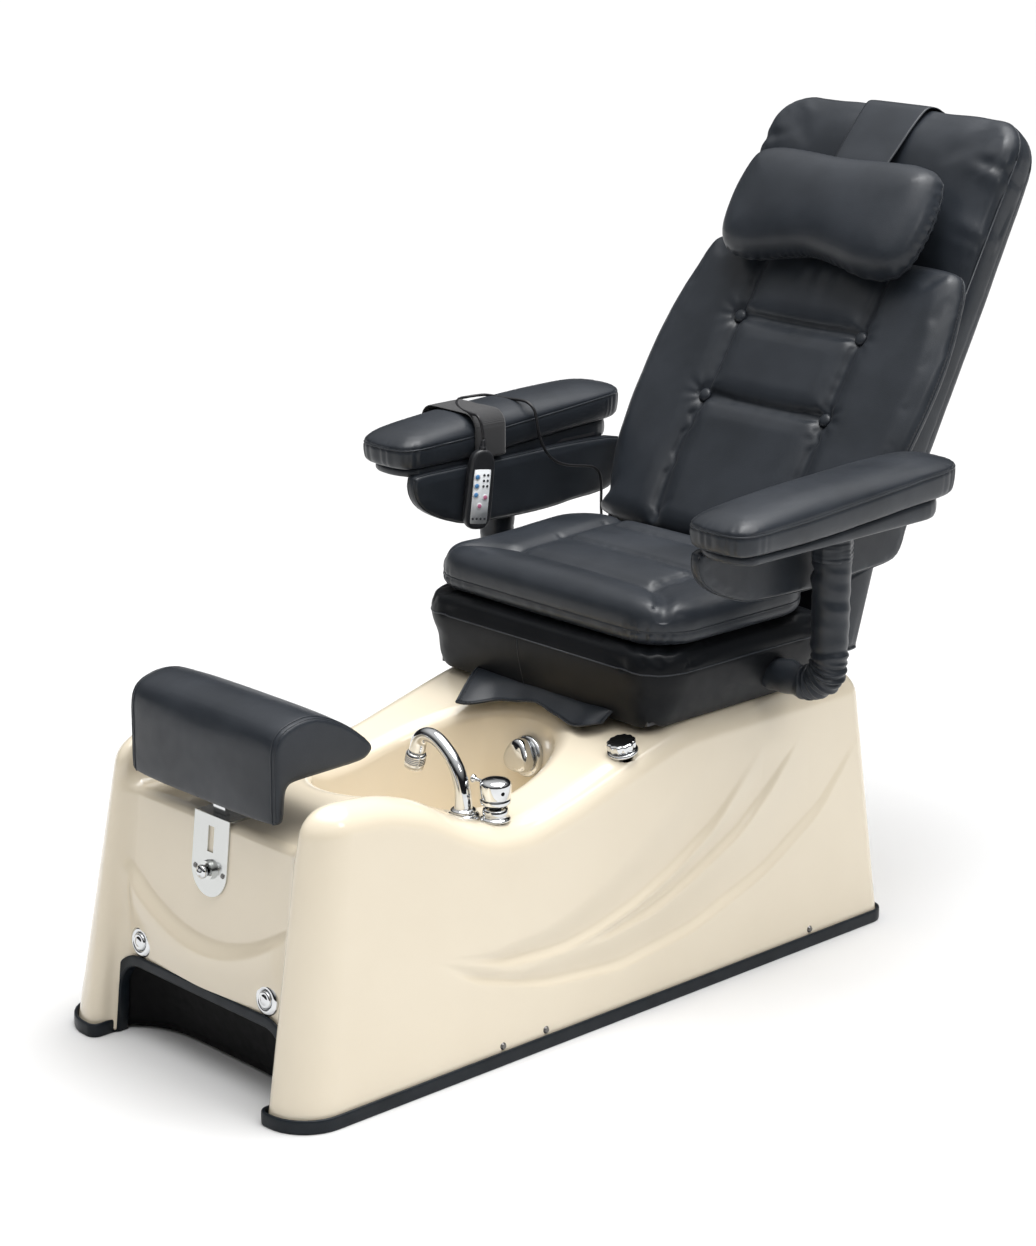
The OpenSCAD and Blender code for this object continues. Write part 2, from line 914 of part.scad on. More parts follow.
module pivot_pins() color(chrome) {
    both_sides() {
        pipe([hinge_x - 20, pivot_y, pivot_z], [0, 90, 0], pin_hinge_r - run_gap, hinge_t + 20);
        pipe([hinge_x + hinge_t, pivot_y, pivot_z], [0, 90, 0], 12, 4);
        pipe([post_x - 28, arm_post_y, arm_pivot_z], [0, 90, 0], arm_pin_r - run_gap, 56);
    }
}

// Skirt of leather that closes the gap under the back
module back_skirt() color(black) {
    both_sides()
        box(266, 270, 505, 630, 490, 566);
    box(-270, 270, 626, 630, 490, 566);
}

module cord_grommet() color(rubber) {
    translate([-hinge_x - hinge_t, 532, 600])
        rotate([0, -90, 0])
            difference() {
                cylinder(r1 = 8, r2 = 4.5, h = 12);
                translate([0, 0, 4])
                    cylinder(r = cord_r, h = 20);
            }
}

// Tube of radius r swept along pts: one ring for each point, square to the route there
function unit(v) = v / norm(v);
function heading(pts, i) = unit(pts[min(i + 1, len(pts) - 1)] - pts[max(i - 1, 0)]);
function side_of(t) = unit(cross(t, abs(t[2]) < 0.9 ? [0, 0, 1] : [0, 1, 0]));
// Carries the ring's start direction along the route, so the tube doesn't twist
function carried(pts, i) = i == 0 ? side_of(heading(pts, 0))
    : let (t = heading(pts, i), p = carried(pts, i - 1)) unit(p - (p * t) * t);

module tube(pts, r, n) {
    last = len(pts) - 1;
    rings = [for (i = [0:last]) let (t = heading(pts, i), u = carried(pts, i), v = cross(t, u))
        for (k = [0:n - 1]) pts[i] + r * (cos(k * 360 / n) * u + sin(k * 360 / n) * v)];
    sides = [for (i = [0:last - 1]) for (k = [0:n - 1])
        [i * n + k, (i + 1) * n + k, (i + 1) * n + (k + 1) % n, i * n + (k + 1) % n]];
    caps = [[for (k = [0:n - 1]) k], [for (k = [n - 1:-1:0]) last * n + k]];
    polyhedron(points = rings, faces = concat(sides, caps));
}

module remote_cord() color(rubber) {
    tube(cord_route, cord_r, 8);
}

// ---------- arms ----------

module arm_bracket() {
    difference() {
        union() {
            box(330, 436, 175, 560, arm_z - 5, arm_z);
            for (x = [post_x - 27, post_x + 21]) {
                translate([x, arm_post_y, arm_pivot_z])
                    rotate([0, 90, 0])
                        cylinder(r = 15, h = 6);
                box(x, x + 6, arm_post_y - 15, arm_post_y + 15, arm_pivot_z, arm_z - 4);
            }
            for (y = [210, 310])
                pipe([408, y, arm_z - 13], [0, 0, 0], 11, 9);
        }
        pipe([post_x - 60, arm_post_y, arm_pivot_z], [0, 90, 0], arm_pin_r, 120);
    }
}

module arm_panel() {
    translate([panel_x, 0, 0])
        rotate([90, 0, 90])
            linear_extrude(panel_t)
                polygon([[127, arm_z - 6], [129, 720], [146, 690], [177, 669], [217, 652], [257, 643],
                         [350, 638], [440, 638], [520, 645], [560, 660], [590, 688], [604, 720],
                         [608, arm_z - 6]]);
}

module arm_pad() {
    difference() {
        rotate([90, 0, 90])
            translate([0, 0, pad_x])
                linear_extrude(pad_w)
                    polygon([[108, arm_z + 1], [108, 788], [126, 802], [180, 812], [260, 823], [480, 833],
                             [590, 834], [625, 824], [640, 806], [640, 778], [620, arm_z + 1]]);
        for (x = [pad_x, pad_x + pad_w])
            translate([x, 0, 834])
                rotate([0, 45, 0])
                    box(-12, 12, 100, 700, -12, 12);
        for (x = [pad_x, pad_x + pad_w])
            translate([x, 108, 700])
                rotate([0, 0, 45])
                    box(-16, 16, -16, 16, 0, 200);
    }
}

module remote_strap() color(rubber) {
    mirror([1, 0, 0])
        difference() {
            box(pad_x - 2, pad_x + pad_w + 2, 262, 332, arm_z + 0.05, strap_top);
            box(pad_x - 0.2, pad_x + pad_w + 0.2, 200, 400, arm_z + 0.95, strap_top - 1.8);
        }
}

module remote_case() color(rubber) {
    translate([remote_x, remote_y, remote_top])
        rotate([-remote_lean, 0, -remote_turn]) {
            translate([-remote_t / 2, 0, -remote_l])
                rotate([90, 0, 90])
                    linear_extrude(remote_t) {
                        translate([-remote_w / 2, 22])
                            square([remote_w, remote_l - 44]);
                        translate([-remote_w / 2 + 14, 2])
                            square([remote_w - 28, remote_l - 4]);
                        translate([0, remote_l - 25])
                            circle(r = remote_w / 2);
                        translate([0, 25])
                            circle(r = remote_w / 2);
                    }
            translate([0, 0, -4])
                cylinder(r1 = 6, r2 = 3.6, h = 19);
        }
}

// ---------- back ----------

module back_frame() color(steel) on_back() {
    both_sides() {
        pipe([frame_x, frame_n, 40], [0, 0, 0], 12, 700);
        // hub that turns on the recline pin, and its web to the upright
        difference() {
            union() {
                pipe([hinge_x - 25, hub_n, hub_u], [0, 90, 0], 18, 24);
                box(frame_x, hinge_x - 12, 24, 60, 30, 80);
            }
            pipe([hinge_x - 30, hub_n, hub_u], [0, 90, 0], pin_hinge_r, 40);
        }
    }
    for (u = cross_bars)
        pipe([-frame_x, frame_n, u], [0, 90, 0], 10, 2 * frame_x);
}

// Outline of the back in its own plane
module back_outline(g) {
    w = 275 + g;
    r = 75 + g;
    top = 852 + g;
    translate([-w, 72])
        square([2 * w, top - 72 - r]);
    translate([-w + r, 72])
        square([2 * (w - r), top - 72]);
    for (s = [-1, 1])
        translate([s * (w - r), top - r])
            circle(r = r);
}

module back_shell() color(black) on_back() difference() {
    intersection() {
        rotate([90, 0, 0])
            translate([0, 0, -200])
                linear_extrude(200)
                    back_outline(0);
        band(300)
            polygon([[36, 72], [36, 585], [14, 640], [-6, 740], [-9, 800], [-4, 835], [10, 850], [30, 852],
                     [56, 852], [70, 843], [82, 815], [92, 750], [150, 140], [150, 90], [140, 72]]);
    }
    // room for the frame inside
    both_sides() {
        pipe([frame_x, frame_n, 60], [0, 0, 0], 12, 680);
        box(frame_x, hinge_x - 8, 20, 61, 60, 90);
    }
    for (u = cross_bars)
        pipe([-frame_x, frame_n, u], [0, 90, 0], 10, 2 * frame_x);
}

// Right-hand edge of the overlay on the back, as [x, u]; the left is its mirror image
overlay_side = [[205, 4], [238, 20], [268, 60], [297, 134], [311, 220], [315, 350], [311, 410], [304, 460],
                [288, 530], [272, 556], [240, 564]];

module back_cushion() color(black) on_back() difference() {
    translate([0, 35, 0])
        rotate([90, 0, 0])
            linear_extrude(32)
                polygon(concat(overlay_side, [for (i = [len(overlay_side) - 1:-1:0])
                    [-overlay_side[i][0], overlay_side[i][1]]]));
    both_sides()
        box(frame_x, 260, 6, 60, -10, 84);
}

module tuft_buttons() color(black) on_back() {
    both_sides()
        for (u = [263, 416])
            translate([137, 2.9, u])
                rotate([90, 0, 0])
                    cylinder(r1 = 12, r2 = 8, h = 5);
}

// A flat band that follows an outline in the back's own side view, centred on the chair
module band(half) {
    rotate([90, 0, 90])
        translate([0, 0, -half])
            linear_extrude(2 * half)
                children();
}

// Flap over the top of the back that ends in a weighted pocket behind it
module strap_counterweight() color(black) on_back() {
    band(strap_half)
        polygon([[34.5, 856], [62, 855.5], [78, 845], [90, 800], [96, 751], [107, 625], [124, 627], [118, 740],
                 [99, 772], [94, 802], [82, 848], [64, 858.8], [34.5, 859.2]]);
}

module pillow() color(black) on_back() {
    translate([0, -8, 0])
        rotate([90, 0, 0])
            linear_extrude(96) {
                translate([-112, 530])
                    square([224, 180]);
                for (s = [-1, 1])
                    translate([s * 112, 610])
                        circle(r = 100);
            }
}

module pillow_strap() color(black) on_back() {
    band(strap_half - 2)
        polygon([[-38, 710.1], [-34.5, 710.1], [-28, 750], [-13, 824], [-4, 843], [10, 853.5], [31, 856],
                 [31, 859], [8, 856.5], [-8, 846], [-16, 825], [-31, 750]]);
}

base_shell();
base_trim();
toe_panel();
chassis_frame();
levelling_feet();
panel_screws();
circulation_pump();
water_pipes();
jet_fittings();
suction_cover();
drain_flange();
drain_tailpipe();
overflow_body();
air_valve_body();
button_bezels();
spout_escutcheon();
mixer_body();
supply_inlets();
footrest_bracket();
post_guide();
slide_rails();
lock_spring();
lock_knob();
footrest_post();
footrest_board();
footrest_cushion();
air_button(-1);  // air_button_left
air_button(1);  // air_button_right
spout();
spray_nozzle();
mixer_spindle();
mixer_handle();
overflow_knob();
drain_plug();
air_knob();
seat_carriage();
seat_base();
seat_cushion();
front_flap();
arm_posts();
arm_sleeves();
pivot_pins();
back_skirt();
cord_grommet();
remote_cord();
color(steel) mirror([1, 0, 0]) arm_bracket();  // arm_bracket_left
color(black) mirror([1, 0, 0]) arm_panel();  // arm_panel_left
color(black) mirror([1, 0, 0]) arm_pad();  // arm_pad_left
remote_strap();
color(steel) arm_bracket();  // arm_bracket_right
color(black) arm_panel();  // arm_panel_right
color(black) arm_pad();  // arm_pad_right
back_frame();
back_shell();
back_cushion();
tuft_buttons();
strap_counterweight();
pillow();
pillow_strap();
remote_case();
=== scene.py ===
"""Pedicure spa chair: shells, upholstery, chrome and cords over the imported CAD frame, in metres."""

import json
import math

import bpy
import numpy as np
import openvdb
from mathutils import Matrix, Vector
from mathutils.bvhtree import BVHTree


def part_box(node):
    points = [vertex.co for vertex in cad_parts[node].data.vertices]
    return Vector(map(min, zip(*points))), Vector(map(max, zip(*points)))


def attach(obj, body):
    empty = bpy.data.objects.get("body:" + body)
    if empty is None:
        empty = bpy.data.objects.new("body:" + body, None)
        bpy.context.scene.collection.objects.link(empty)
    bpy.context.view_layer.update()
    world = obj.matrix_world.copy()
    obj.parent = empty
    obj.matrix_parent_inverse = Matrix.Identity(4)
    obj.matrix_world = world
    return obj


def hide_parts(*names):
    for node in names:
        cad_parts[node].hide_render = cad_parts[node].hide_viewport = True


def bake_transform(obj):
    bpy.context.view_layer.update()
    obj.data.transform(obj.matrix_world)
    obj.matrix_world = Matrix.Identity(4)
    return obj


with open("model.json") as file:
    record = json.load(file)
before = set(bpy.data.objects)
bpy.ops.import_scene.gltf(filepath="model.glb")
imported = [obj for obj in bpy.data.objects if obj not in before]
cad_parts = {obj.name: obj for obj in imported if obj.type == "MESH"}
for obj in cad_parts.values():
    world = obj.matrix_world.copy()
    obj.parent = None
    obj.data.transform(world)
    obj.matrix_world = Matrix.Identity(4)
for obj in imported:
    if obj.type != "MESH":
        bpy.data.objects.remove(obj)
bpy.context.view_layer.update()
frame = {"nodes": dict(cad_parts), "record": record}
scene = bpy.context.scene

# ---------- driving dimensions, as in the CAD model ----------

BASE_HALF_L = 0.640
BASE_HALF_W = 0.299
DRAFT_TOP = 0.470
FRONT_DRAFT = 0.073
REAR_DRAFT = 0.040
SIDE_DRAFT = 0.036
FRONT_CORNER = 0.070
REAR_CORNER = 0.028
SHELL_T = 0.009
SOLE_Z = 0.004
RECESS_HALF = 0.208
RECESS_Y = -0.596
RECESS_LEAN = math.radians(6.2)
LEDGE_Z = 0.398
ARCH_HALF = 0.200
ARCH_TOP = 0.120
ARCH_R = 0.045
BASIN_Y = -0.115
BASIN_FLOOR = 0.150
BASIN_R = (0.124, 0.181)
BASIN_R_GROWTH = (0.129, 0.154)      # per metre of height above the floor
SPOUT_X, SPOUT_Y = 0.183, -0.217
MIXER_X, MIXER_Y = 0.226, -0.190

CREST = [(-0.66, 0.472), (-0.50, 0.470), (-0.43, 0.463), (-0.355, 0.438), (-0.285, 0.394), (-0.22, 0.366),
         (-0.15, 0.362), (-0.06, 0.380), (0.04, 0.408), (0.12, 0.430), (0.19, 0.445), (0.66, 0.445)]

BACK_LEAN = math.radians(34)
BACK = Matrix.Translation((0, 0.496, 0.620)) @ Matrix.Rotation(-BACK_LEAN, 4, "X")


# ---------- curves and distances ----------

def line(points, soft=0.0):
    """Function that follows the points, with its corners rounded over about soft."""
    where, value = zip(*points)
    fine = np.linspace(where[0], where[-1], 801)
    values = np.interp(fine, where, value)
    if soft:
        reach = max(1, int(soft / (fine[1] - fine[0])))
        kernel = np.hanning(2 * reach + 1)
        values = np.pad(values, reach, mode="reflect", reflect_type="odd")
        values = np.convolve(values, kernel / kernel.sum(), "valid")
    return lambda t: np.interp(t, fine, values)


def smooth(t):
    t = np.clip(t, 0, 1)
    return t * t * (3 - 2 * t)


def both(a, b, r):
    """Where a and b are both solid, with the edge between them rounded to radius r."""
    u = np.maximum(a + r, 0)
    v = np.maximum(b + r, 0)
    return np.minimum(-r, np.maximum(a, b)) + np.sqrt(u * u + v * v)


def either(a, b, r):
    return -both(-a, -b, r)


def rounded_box(x, y, half_x, half_y, r):
    dx = np.abs(x) - half_x + r
    dy = np.abs(y) - half_y + r
    outside = np.sqrt(np.maximum(dx, 0) ** 2 + np.maximum(dy, 0) ** 2)
    return outside + np.minimum(np.maximum(dx, dy), 0) - r


def closed_curve(points, steps=6):
    """Smooth closed outline through a few points."""
    p = np.array(points, float)
    n = len(p)
    out = []
    for i in range(n):
        a, b, c, d = (p[(i + k) % n] for k in (-1, 0, 1, 2))
        for s in range(steps):
            t = s / steps
            out.append(0.5 * (2 * b + (c - a) * t + (2 * a - 5 * b + 4 * c - d) * t * t
                              + (3 * b - a - 3 * c + d) * t ** 3))
    return np.array(out)


def open_curve(points, steps=6):
    """Smooth open line through a few points, in any number of dimensions."""
    p = np.array(points, float)
    p = np.vstack([2 * p[0] - p[1], p, 2 * p[-1] - p[-2]])
    out = []
    for i in range(1, len(p) - 2):
        a, b, c, d = p[i - 1:i + 3]
        for s in range(steps):
            t = s / steps
            out.append(0.5 * (2 * b + (c - a) * t + (2 * a - 5 * b + 4 * c - d) * t * t
                              + (3 * b - a - 3 * c + d) * t ** 3))
    out.append(p[-2])
    return np.array(out)


def outline_distance(outline, u, v):
    """Signed distance to a closed outline, negative inside."""
    best = np.full(u.shape, 1e9)
    inside = np.zeros(u.shape, bool)
    for (ax, ay), (bx, by) in zip(outline, np.roll(outline, -1, axis=0)):
        ex, ey = bx - ax, by - ay
        t = np.clip(((u - ax) * ex + (v - ay) * ey) / (ex * ex + ey * ey + 1e-18), 0, 1)
        best = np.minimum(best, (u - ax - t * ex) ** 2 + (v - ay - t * ey) ** 2)
        if ay != by:
            crosses = ((ay > v) != (by > v)) & (u < ex * (v - ay) / ey + ax)
            inside ^= crosses
    return np.sqrt(best) * np.where(inside, -1, 1)


def puff(plan, height, edge, thick, power=2.0):
    """A padded form: plan is the distance outside its outline, height the place through its thickness."""
    across = np.maximum(plan + edge, 0) / edge
    through = np.abs(height) / thick
    return ((across ** power + through ** power + 1e-12) ** (1 / power) - 1) * np.minimum(edge, thick)


# ---------- meshes ----------

def link(obj):
    scene.collection.objects.link(obj)
    return obj


def make(name, points, faces):
    mesh = bpy.data.meshes.new(name)
    mesh.from_pydata([tuple(map(float, p)) for p in points], [], [tuple(map(int, f)) for f in faces])
    mesh.update()
    mesh.shade_smooth()
    return link(bpy.data.objects.new(name, mesh))


def coords(obj):
    return np.array([v.co for v in obj.data.vertices], float).reshape(-1, 3)


def set_coords(obj, points):
    obj.data.vertices.foreach_set("co", np.asarray(points, np.float32).ravel())
    obj.data.update()


def normals(obj):
    return np.array([v.normal for v in obj.data.vertices], float).reshape(-1, 3)


def gradient(field, p, h=0.0004):
    steps = np.eye(3) * h
    return np.stack([(field(*(p + s).T) - field(*(p - s).T)) / (2 * h) for s in steps], axis=1)


def settle(field, p, rounds=3):
    """Points pulled on to the surface where field is zero."""
    for _ in range(rounds):
        g = gradient(field, p)
        size = np.maximum((g * g).sum(1, keepdims=True), 1e-4)
        move = -field(*p.T)[:, None] * g / size
        length = np.linalg.norm(move, axis=1, keepdims=True)
        p = p + move * np.minimum(1, 0.004 / np.maximum(length, 1e-9))
    return p


def skin(name, field, low, high, step):
    """Mesh of the surface where field is zero, in quads about step across."""
    axes = [np.arange(a - 2.5 * step, b + 2.5 * step, step) for a, b in zip(low, high)]
    x, y, z = np.meshgrid(*axes, indexing="ij")
    grid = openvdb.FloatGrid(1.0)
    grid.copyFromArray(np.clip(field(x, y, z), -0.05, 0.05).astype(np.float32))
    points, quads = grid.convertToQuads(isovalue=0.0)
    points = points * step + np.array([a[0] for a in axes])
    obj = make(name, points, quads[:, ::-1])
    settled = settle(field, coords(obj))
    set_coords(obj, settled)
    if np.mean(np.sum(normals(obj) * gradient(field, settled), axis=1)) < 0:
        obj.data.flip_normals()
    return obj


def baked(obj):
    """Applies every modifier of obj to its mesh."""
    graph = bpy.context.evaluated_depsgraph_get()
    mesh = bpy.data.meshes.new_from_object(obj.evaluated_get(graph))
    obj.modifiers.clear()
    obj.data = mesh
    mesh.shade_smooth()
    return obj


def refine(obj, levels=1):
    modifier = obj.modifiers.new("refine", "SUBSURF")
    modifier.levels = modifier.render_levels = levels
    return baked(obj)


def inflate(obj, pressure, cap, pins=None, frames=18):
    """Cloth under inside pressure: pins gives each vertex's hold from 0 to 1, cap how far one may move."""
    rest = coords(obj)
    modifier = obj.modifiers.new("cloth", "CLOTH")
    cloth = modifier.settings
    cloth.quality = 4
    cloth.mass = 0.35
    cloth.tension_stiffness = cloth.compression_stiffness = 18
    cloth.shear_stiffness = 8
    cloth.bending_stiffness = 6
    cloth.air_damping = 2
    cloth.use_pressure = True
    cloth.uniform_pressure_force = pressure
    cloth.effector_weights.gravity = 0
    modifier.collision_settings.use_collision = False
    modifier.point_cache.frame_start = 1
    modifier.point_cache.frame_end = frames
    if pins is not None:
        group = obj.vertex_groups.new(name="held")
        for i in np.flatnonzero(pins > 0.02):
            group.add([int(i)], float(pins[i]), "REPLACE")
        cloth.vertex_group_mass = "held"
        cloth.pin_stiffness = 1
    for number in range(1, frames + 1):
        scene.frame_set(number)
    graph = bpy.context.evaluated_depsgraph_get()
    shape = obj.evaluated_get(graph).data
    moved = np.array([v.co for v in shape.vertices], float).reshape(-1, 3)
    obj.modifiers.remove(modifier)
    scene.frame_set(1)
    move = moved - rest
    length = np.linalg.norm(move, axis=1, keepdims=True)
    set_coords(obj, rest + move * np.minimum(1, cap / np.maximum(length, 1e-9)))
    return obj


def line_distance(p, path):
    """Distance from each point to a line of points, and how far along the line it is."""
    best = np.full(len(p), 1e9)
    along = np.zeros(len(p))
    start = 0.0
    for a, b in zip(path[:-1], path[1:]):
        edge = b - a
        length = np.linalg.norm(edge)
        t = np.clip((p - a) @ edge / max(length ** 2, 1e-12), 0, 1)
        distance = np.linalg.norm(p - a - t[:, None] * edge, axis=1)
        nearer = distance < best
        best[nearer] = distance[nearer]
        along[nearer] = start + t[nearer] * length
        start += length
    return best, along


def groove(obj, paths, depth, width, pucker=0.0):
    """Sinks the surface along each path, with small puckers beside it."""
    p, n = coords(obj), normals(obj)
    total = np.zeros(len(p))
    for path in paths:
        distance, along = line_distance(p, np.asarray(path))
        dip = depth * np.exp(-(distance / width) ** 2)
        ripple = np.sin(along * 190 + 1.3 * np.sin(along * 57)) * np.exp(-(distance / (2.6 * width)) ** 2)
        total = np.maximum(total, dip + pucker * ripple)
    set_coords(obj, p - n * total[:, None])
    return obj


def wrinkle(obj, amount):
    """Moves the surface along its normals by amount(x, y, z)."""
    p, n = coords(obj), normals(obj)
    set_coords(obj, p + n * amount(*p.T)[:, None])
    return obj


def onto(obj, path, lift=0.0):
    """The path laid on obj's surface."""
    tree = BVHTree.FromPolygons([v.co for v in obj.data.vertices], [f.vertices for f in obj.data.polygons])
    laid = []
    for p in path:
        place, normal, _, _ = tree.find_nearest(Vector(p))
        laid.append(np.array(place) + np.array(normal) * lift)
    return np.array(laid)


def frames_along(path):
    """Two cross directions at each point of a path, carried along without twist."""
    heading = np.gradient(path, axis=0)
    heading /= np.linalg.norm(heading, axis=1, keepdims=True)
    start = np.array([0, 0, 1.0]) if abs(heading[0][2]) < 0.9 else np.array([0, 1.0, 0])
    sides = []
    side = np.cross(heading[0], start)
    for h in heading:
        side = side - h * (side @ h)
        side = side / np.linalg.norm(side)
        sides.append(side)
    sides = np.array(sides)
    return sides, np.cross(heading, sides)


def tube(name, path, radius, sides=12):
    """Round tube along a path; radius is a number, or radius(share of the length, angle)."""
    p = np.asarray(path, float)
    a, b = frames_along(p)
    n = len(p)
    rings = []
    for i in range(n):
        share = i / (n - 1)
        for k in range(sides):
            angle = 2 * math.pi * k / sides
            r = radius(share, angle) if callable(radius) else radius
            rings.append(p[i] + r * (math.cos(angle) * a[i] + math.sin(angle) * b[i]))
    return ringed(name, rings, n, sides)


def ringed(name, points, rings, sides, closed=False):
    """Closed skin over rings of points, with flat ends where the run is open."""
    faces = []
    for i in range(rings if closed else rings - 1):
        j = (i + 1) % rings
        for k in range(sides):
            m = (k + 1) % sides
            faces.append((i * sides + k, i * sides + m, j * sides + m, j * sides + k))
    if not closed:
        faces.append(tuple(range(sides))[::-1])
        faces.append(tuple((rings - 1) * sides + k for k in range(sides)))
    obj = make(name, points, faces)
    return outward(obj)


def sheet_faces(columns, rows, flipped=False):
    """Quads over a sheet whose points run along its columns, row by row."""
    faces = []
    for j in range(rows - 1):
        for i in range(columns - 1):
            a = j * columns + i
            quad = (a, a + 1, a + 1 + columns, a + columns)
            faces.append((a,) + quad[:0:-1] if flipped else quad)
    return faces


def thickened(obj, thickness, offset=0):
    modifier = obj.modifiers.new("thickness", "SOLIDIFY")
    modifier.thickness = thickness
    modifier.offset = offset
    return baked(obj)


def looped(points):
    """The points with the first one again at the end."""
    points = np.asarray(points)
    return np.vstack([points, points[:1]])


def outward(obj):
    """Turns the faces of a closed mesh outwards."""
    p = coords(obj)
    volume = 0.0
    for f in obj.data.polygons:
        v = f.vertices
        for k in range(1, len(v) - 1):
            volume += np.dot(p[v[0]], np.cross(p[v[k]], p[v[k + 1]]))
    if volume < 0:
        obj.data.flip_normals()
    return obj


def band(name, path, across, out, width, thick, closed=False):
    """Flat band along a path: across and out are one direction, or one for each point."""
    p = np.asarray(path, float)
    n = len(p)
    across = np.broadcast_to(np.asarray(across, float), (n, 3))
    out = np.broadcast_to(np.asarray(out, float), (n, 3))
    wide = np.broadcast_to(np.asarray(width, float), (n,))
    sides = 16
    power = 0.45
    rings = []
    for i in range(n):
        for k in range(sides):
            angle = 2 * math.pi * (k + 0.5) / sides
            c, s = math.cos(angle), math.sin(angle)
            u = math.copysign(abs(c) ** power, c) * wide[i] / 2
            v = math.copysign(abs(s) ** power, s) * thick / 2
            rings.append(p[i] + across[i] * u + out[i] * (v + thick / 2))
    return ringed(name, rings, n, sides, closed)


def lathe(name, profile, place, axis, steps=64, lobes=0, depth=0.0, twist=0.0):
    """Turned piece: profile is [(radius, height)], with lobes around it where lobes is over 0."""
    turn = Vector((0, 0, 1)).rotation_difference(Vector(axis)).to_matrix()
    points = []
    for r, h in profile:
        for k in range(steps):
            angle = 2 * math.pi * k / steps
            scale = 1 + depth * (math.cos(lobes * (angle + twist)) - 1) / 2 if lobes and r > 0.004 else 1
            points.append(turn @ Vector((r * scale * math.cos(angle), r * scale * math.sin(angle), h))
                          + Vector(place))
    return ringed(name, points, len(profile), steps)


def joined(name, objs):
    """One mesh from several objects, which are removed."""
    points, faces, start = [], [], 0
    for o in objs:
        p = coords(o)
        points.append(p)
        faces += [tuple(i + start for i in f.vertices) for f in o.data.polygons]
        start += len(p)
    material = objs[0].data.materials[0] if objs[0].data.materials else None
    for o in objs:
        bpy.data.objects.remove(o)
    obj = make(name, np.vstack(points), faces)
    if material:
        obj.data.materials.append(material)
    return obj


def stitches(name, path, out, length=0.0045, gap=0.0025, r=0.0006):
    """A row of thread stitches lying along a path on a surface."""
    p = np.asarray(path, float)
    steps = np.linalg.norm(np.diff(p, axis=0), axis=1)
    at = np.concatenate([[0], np.cumsum(steps)])
    count = max(1, int(at[-1] / (length + gap)))
    points, faces = [], []
    for i in range(count):
        ends = [i * (length + gap), i * (length + gap) + length]
        a, b = (np.array([np.interp(e, at, p[:, k]) for k in range(3)]) for e in ends)
        run = (b - a) / max(np.linalg.norm(b - a), 1e-9)
        lift = np.asarray(out, float)
        side = np.cross(run, lift)
        side /= max(np.linalg.norm(side), 1e-9)
        first = len(points)
        for place, size in ((a, 0.4), ((a + b) / 2, 1.0), (b, 0.4)):
            for k in range(6):
                angle = math.pi * k / 3
                points.append(place + r * size * (math.cos(angle) * side + math.sin(angle) * lift))
        for ring in range(2):
            for k in range(6):
                m = (k + 1) % 6
                base = first + ring * 6
                faces.append((base + k, base + m, base + 6 + m, base + 6 + k))
        faces.append(tuple(first + k for k in range(6))[::-1])
        faces.append(tuple(first + 12 + k for k in range(6)))
    return make(name, points, faces)


def mirrored(obj, name):
    """A copy of obj on the chair's other side."""
    mesh = obj.data.copy()
    other = link(bpy.data.objects.new(name, mesh))
    set_coords(other, coords(obj) * (-1, 1, 1))
    mesh.flip_normals()
    return other


def in_back(obj):
    """Moves a mesh made in the back's own frame to its place."""
    obj.data.transform(BACK)
    obj.data.update()
    return obj


def back_points(points):
    return np.array([BACK @ Vector(p) for p in points])


# ---------- materials ----------

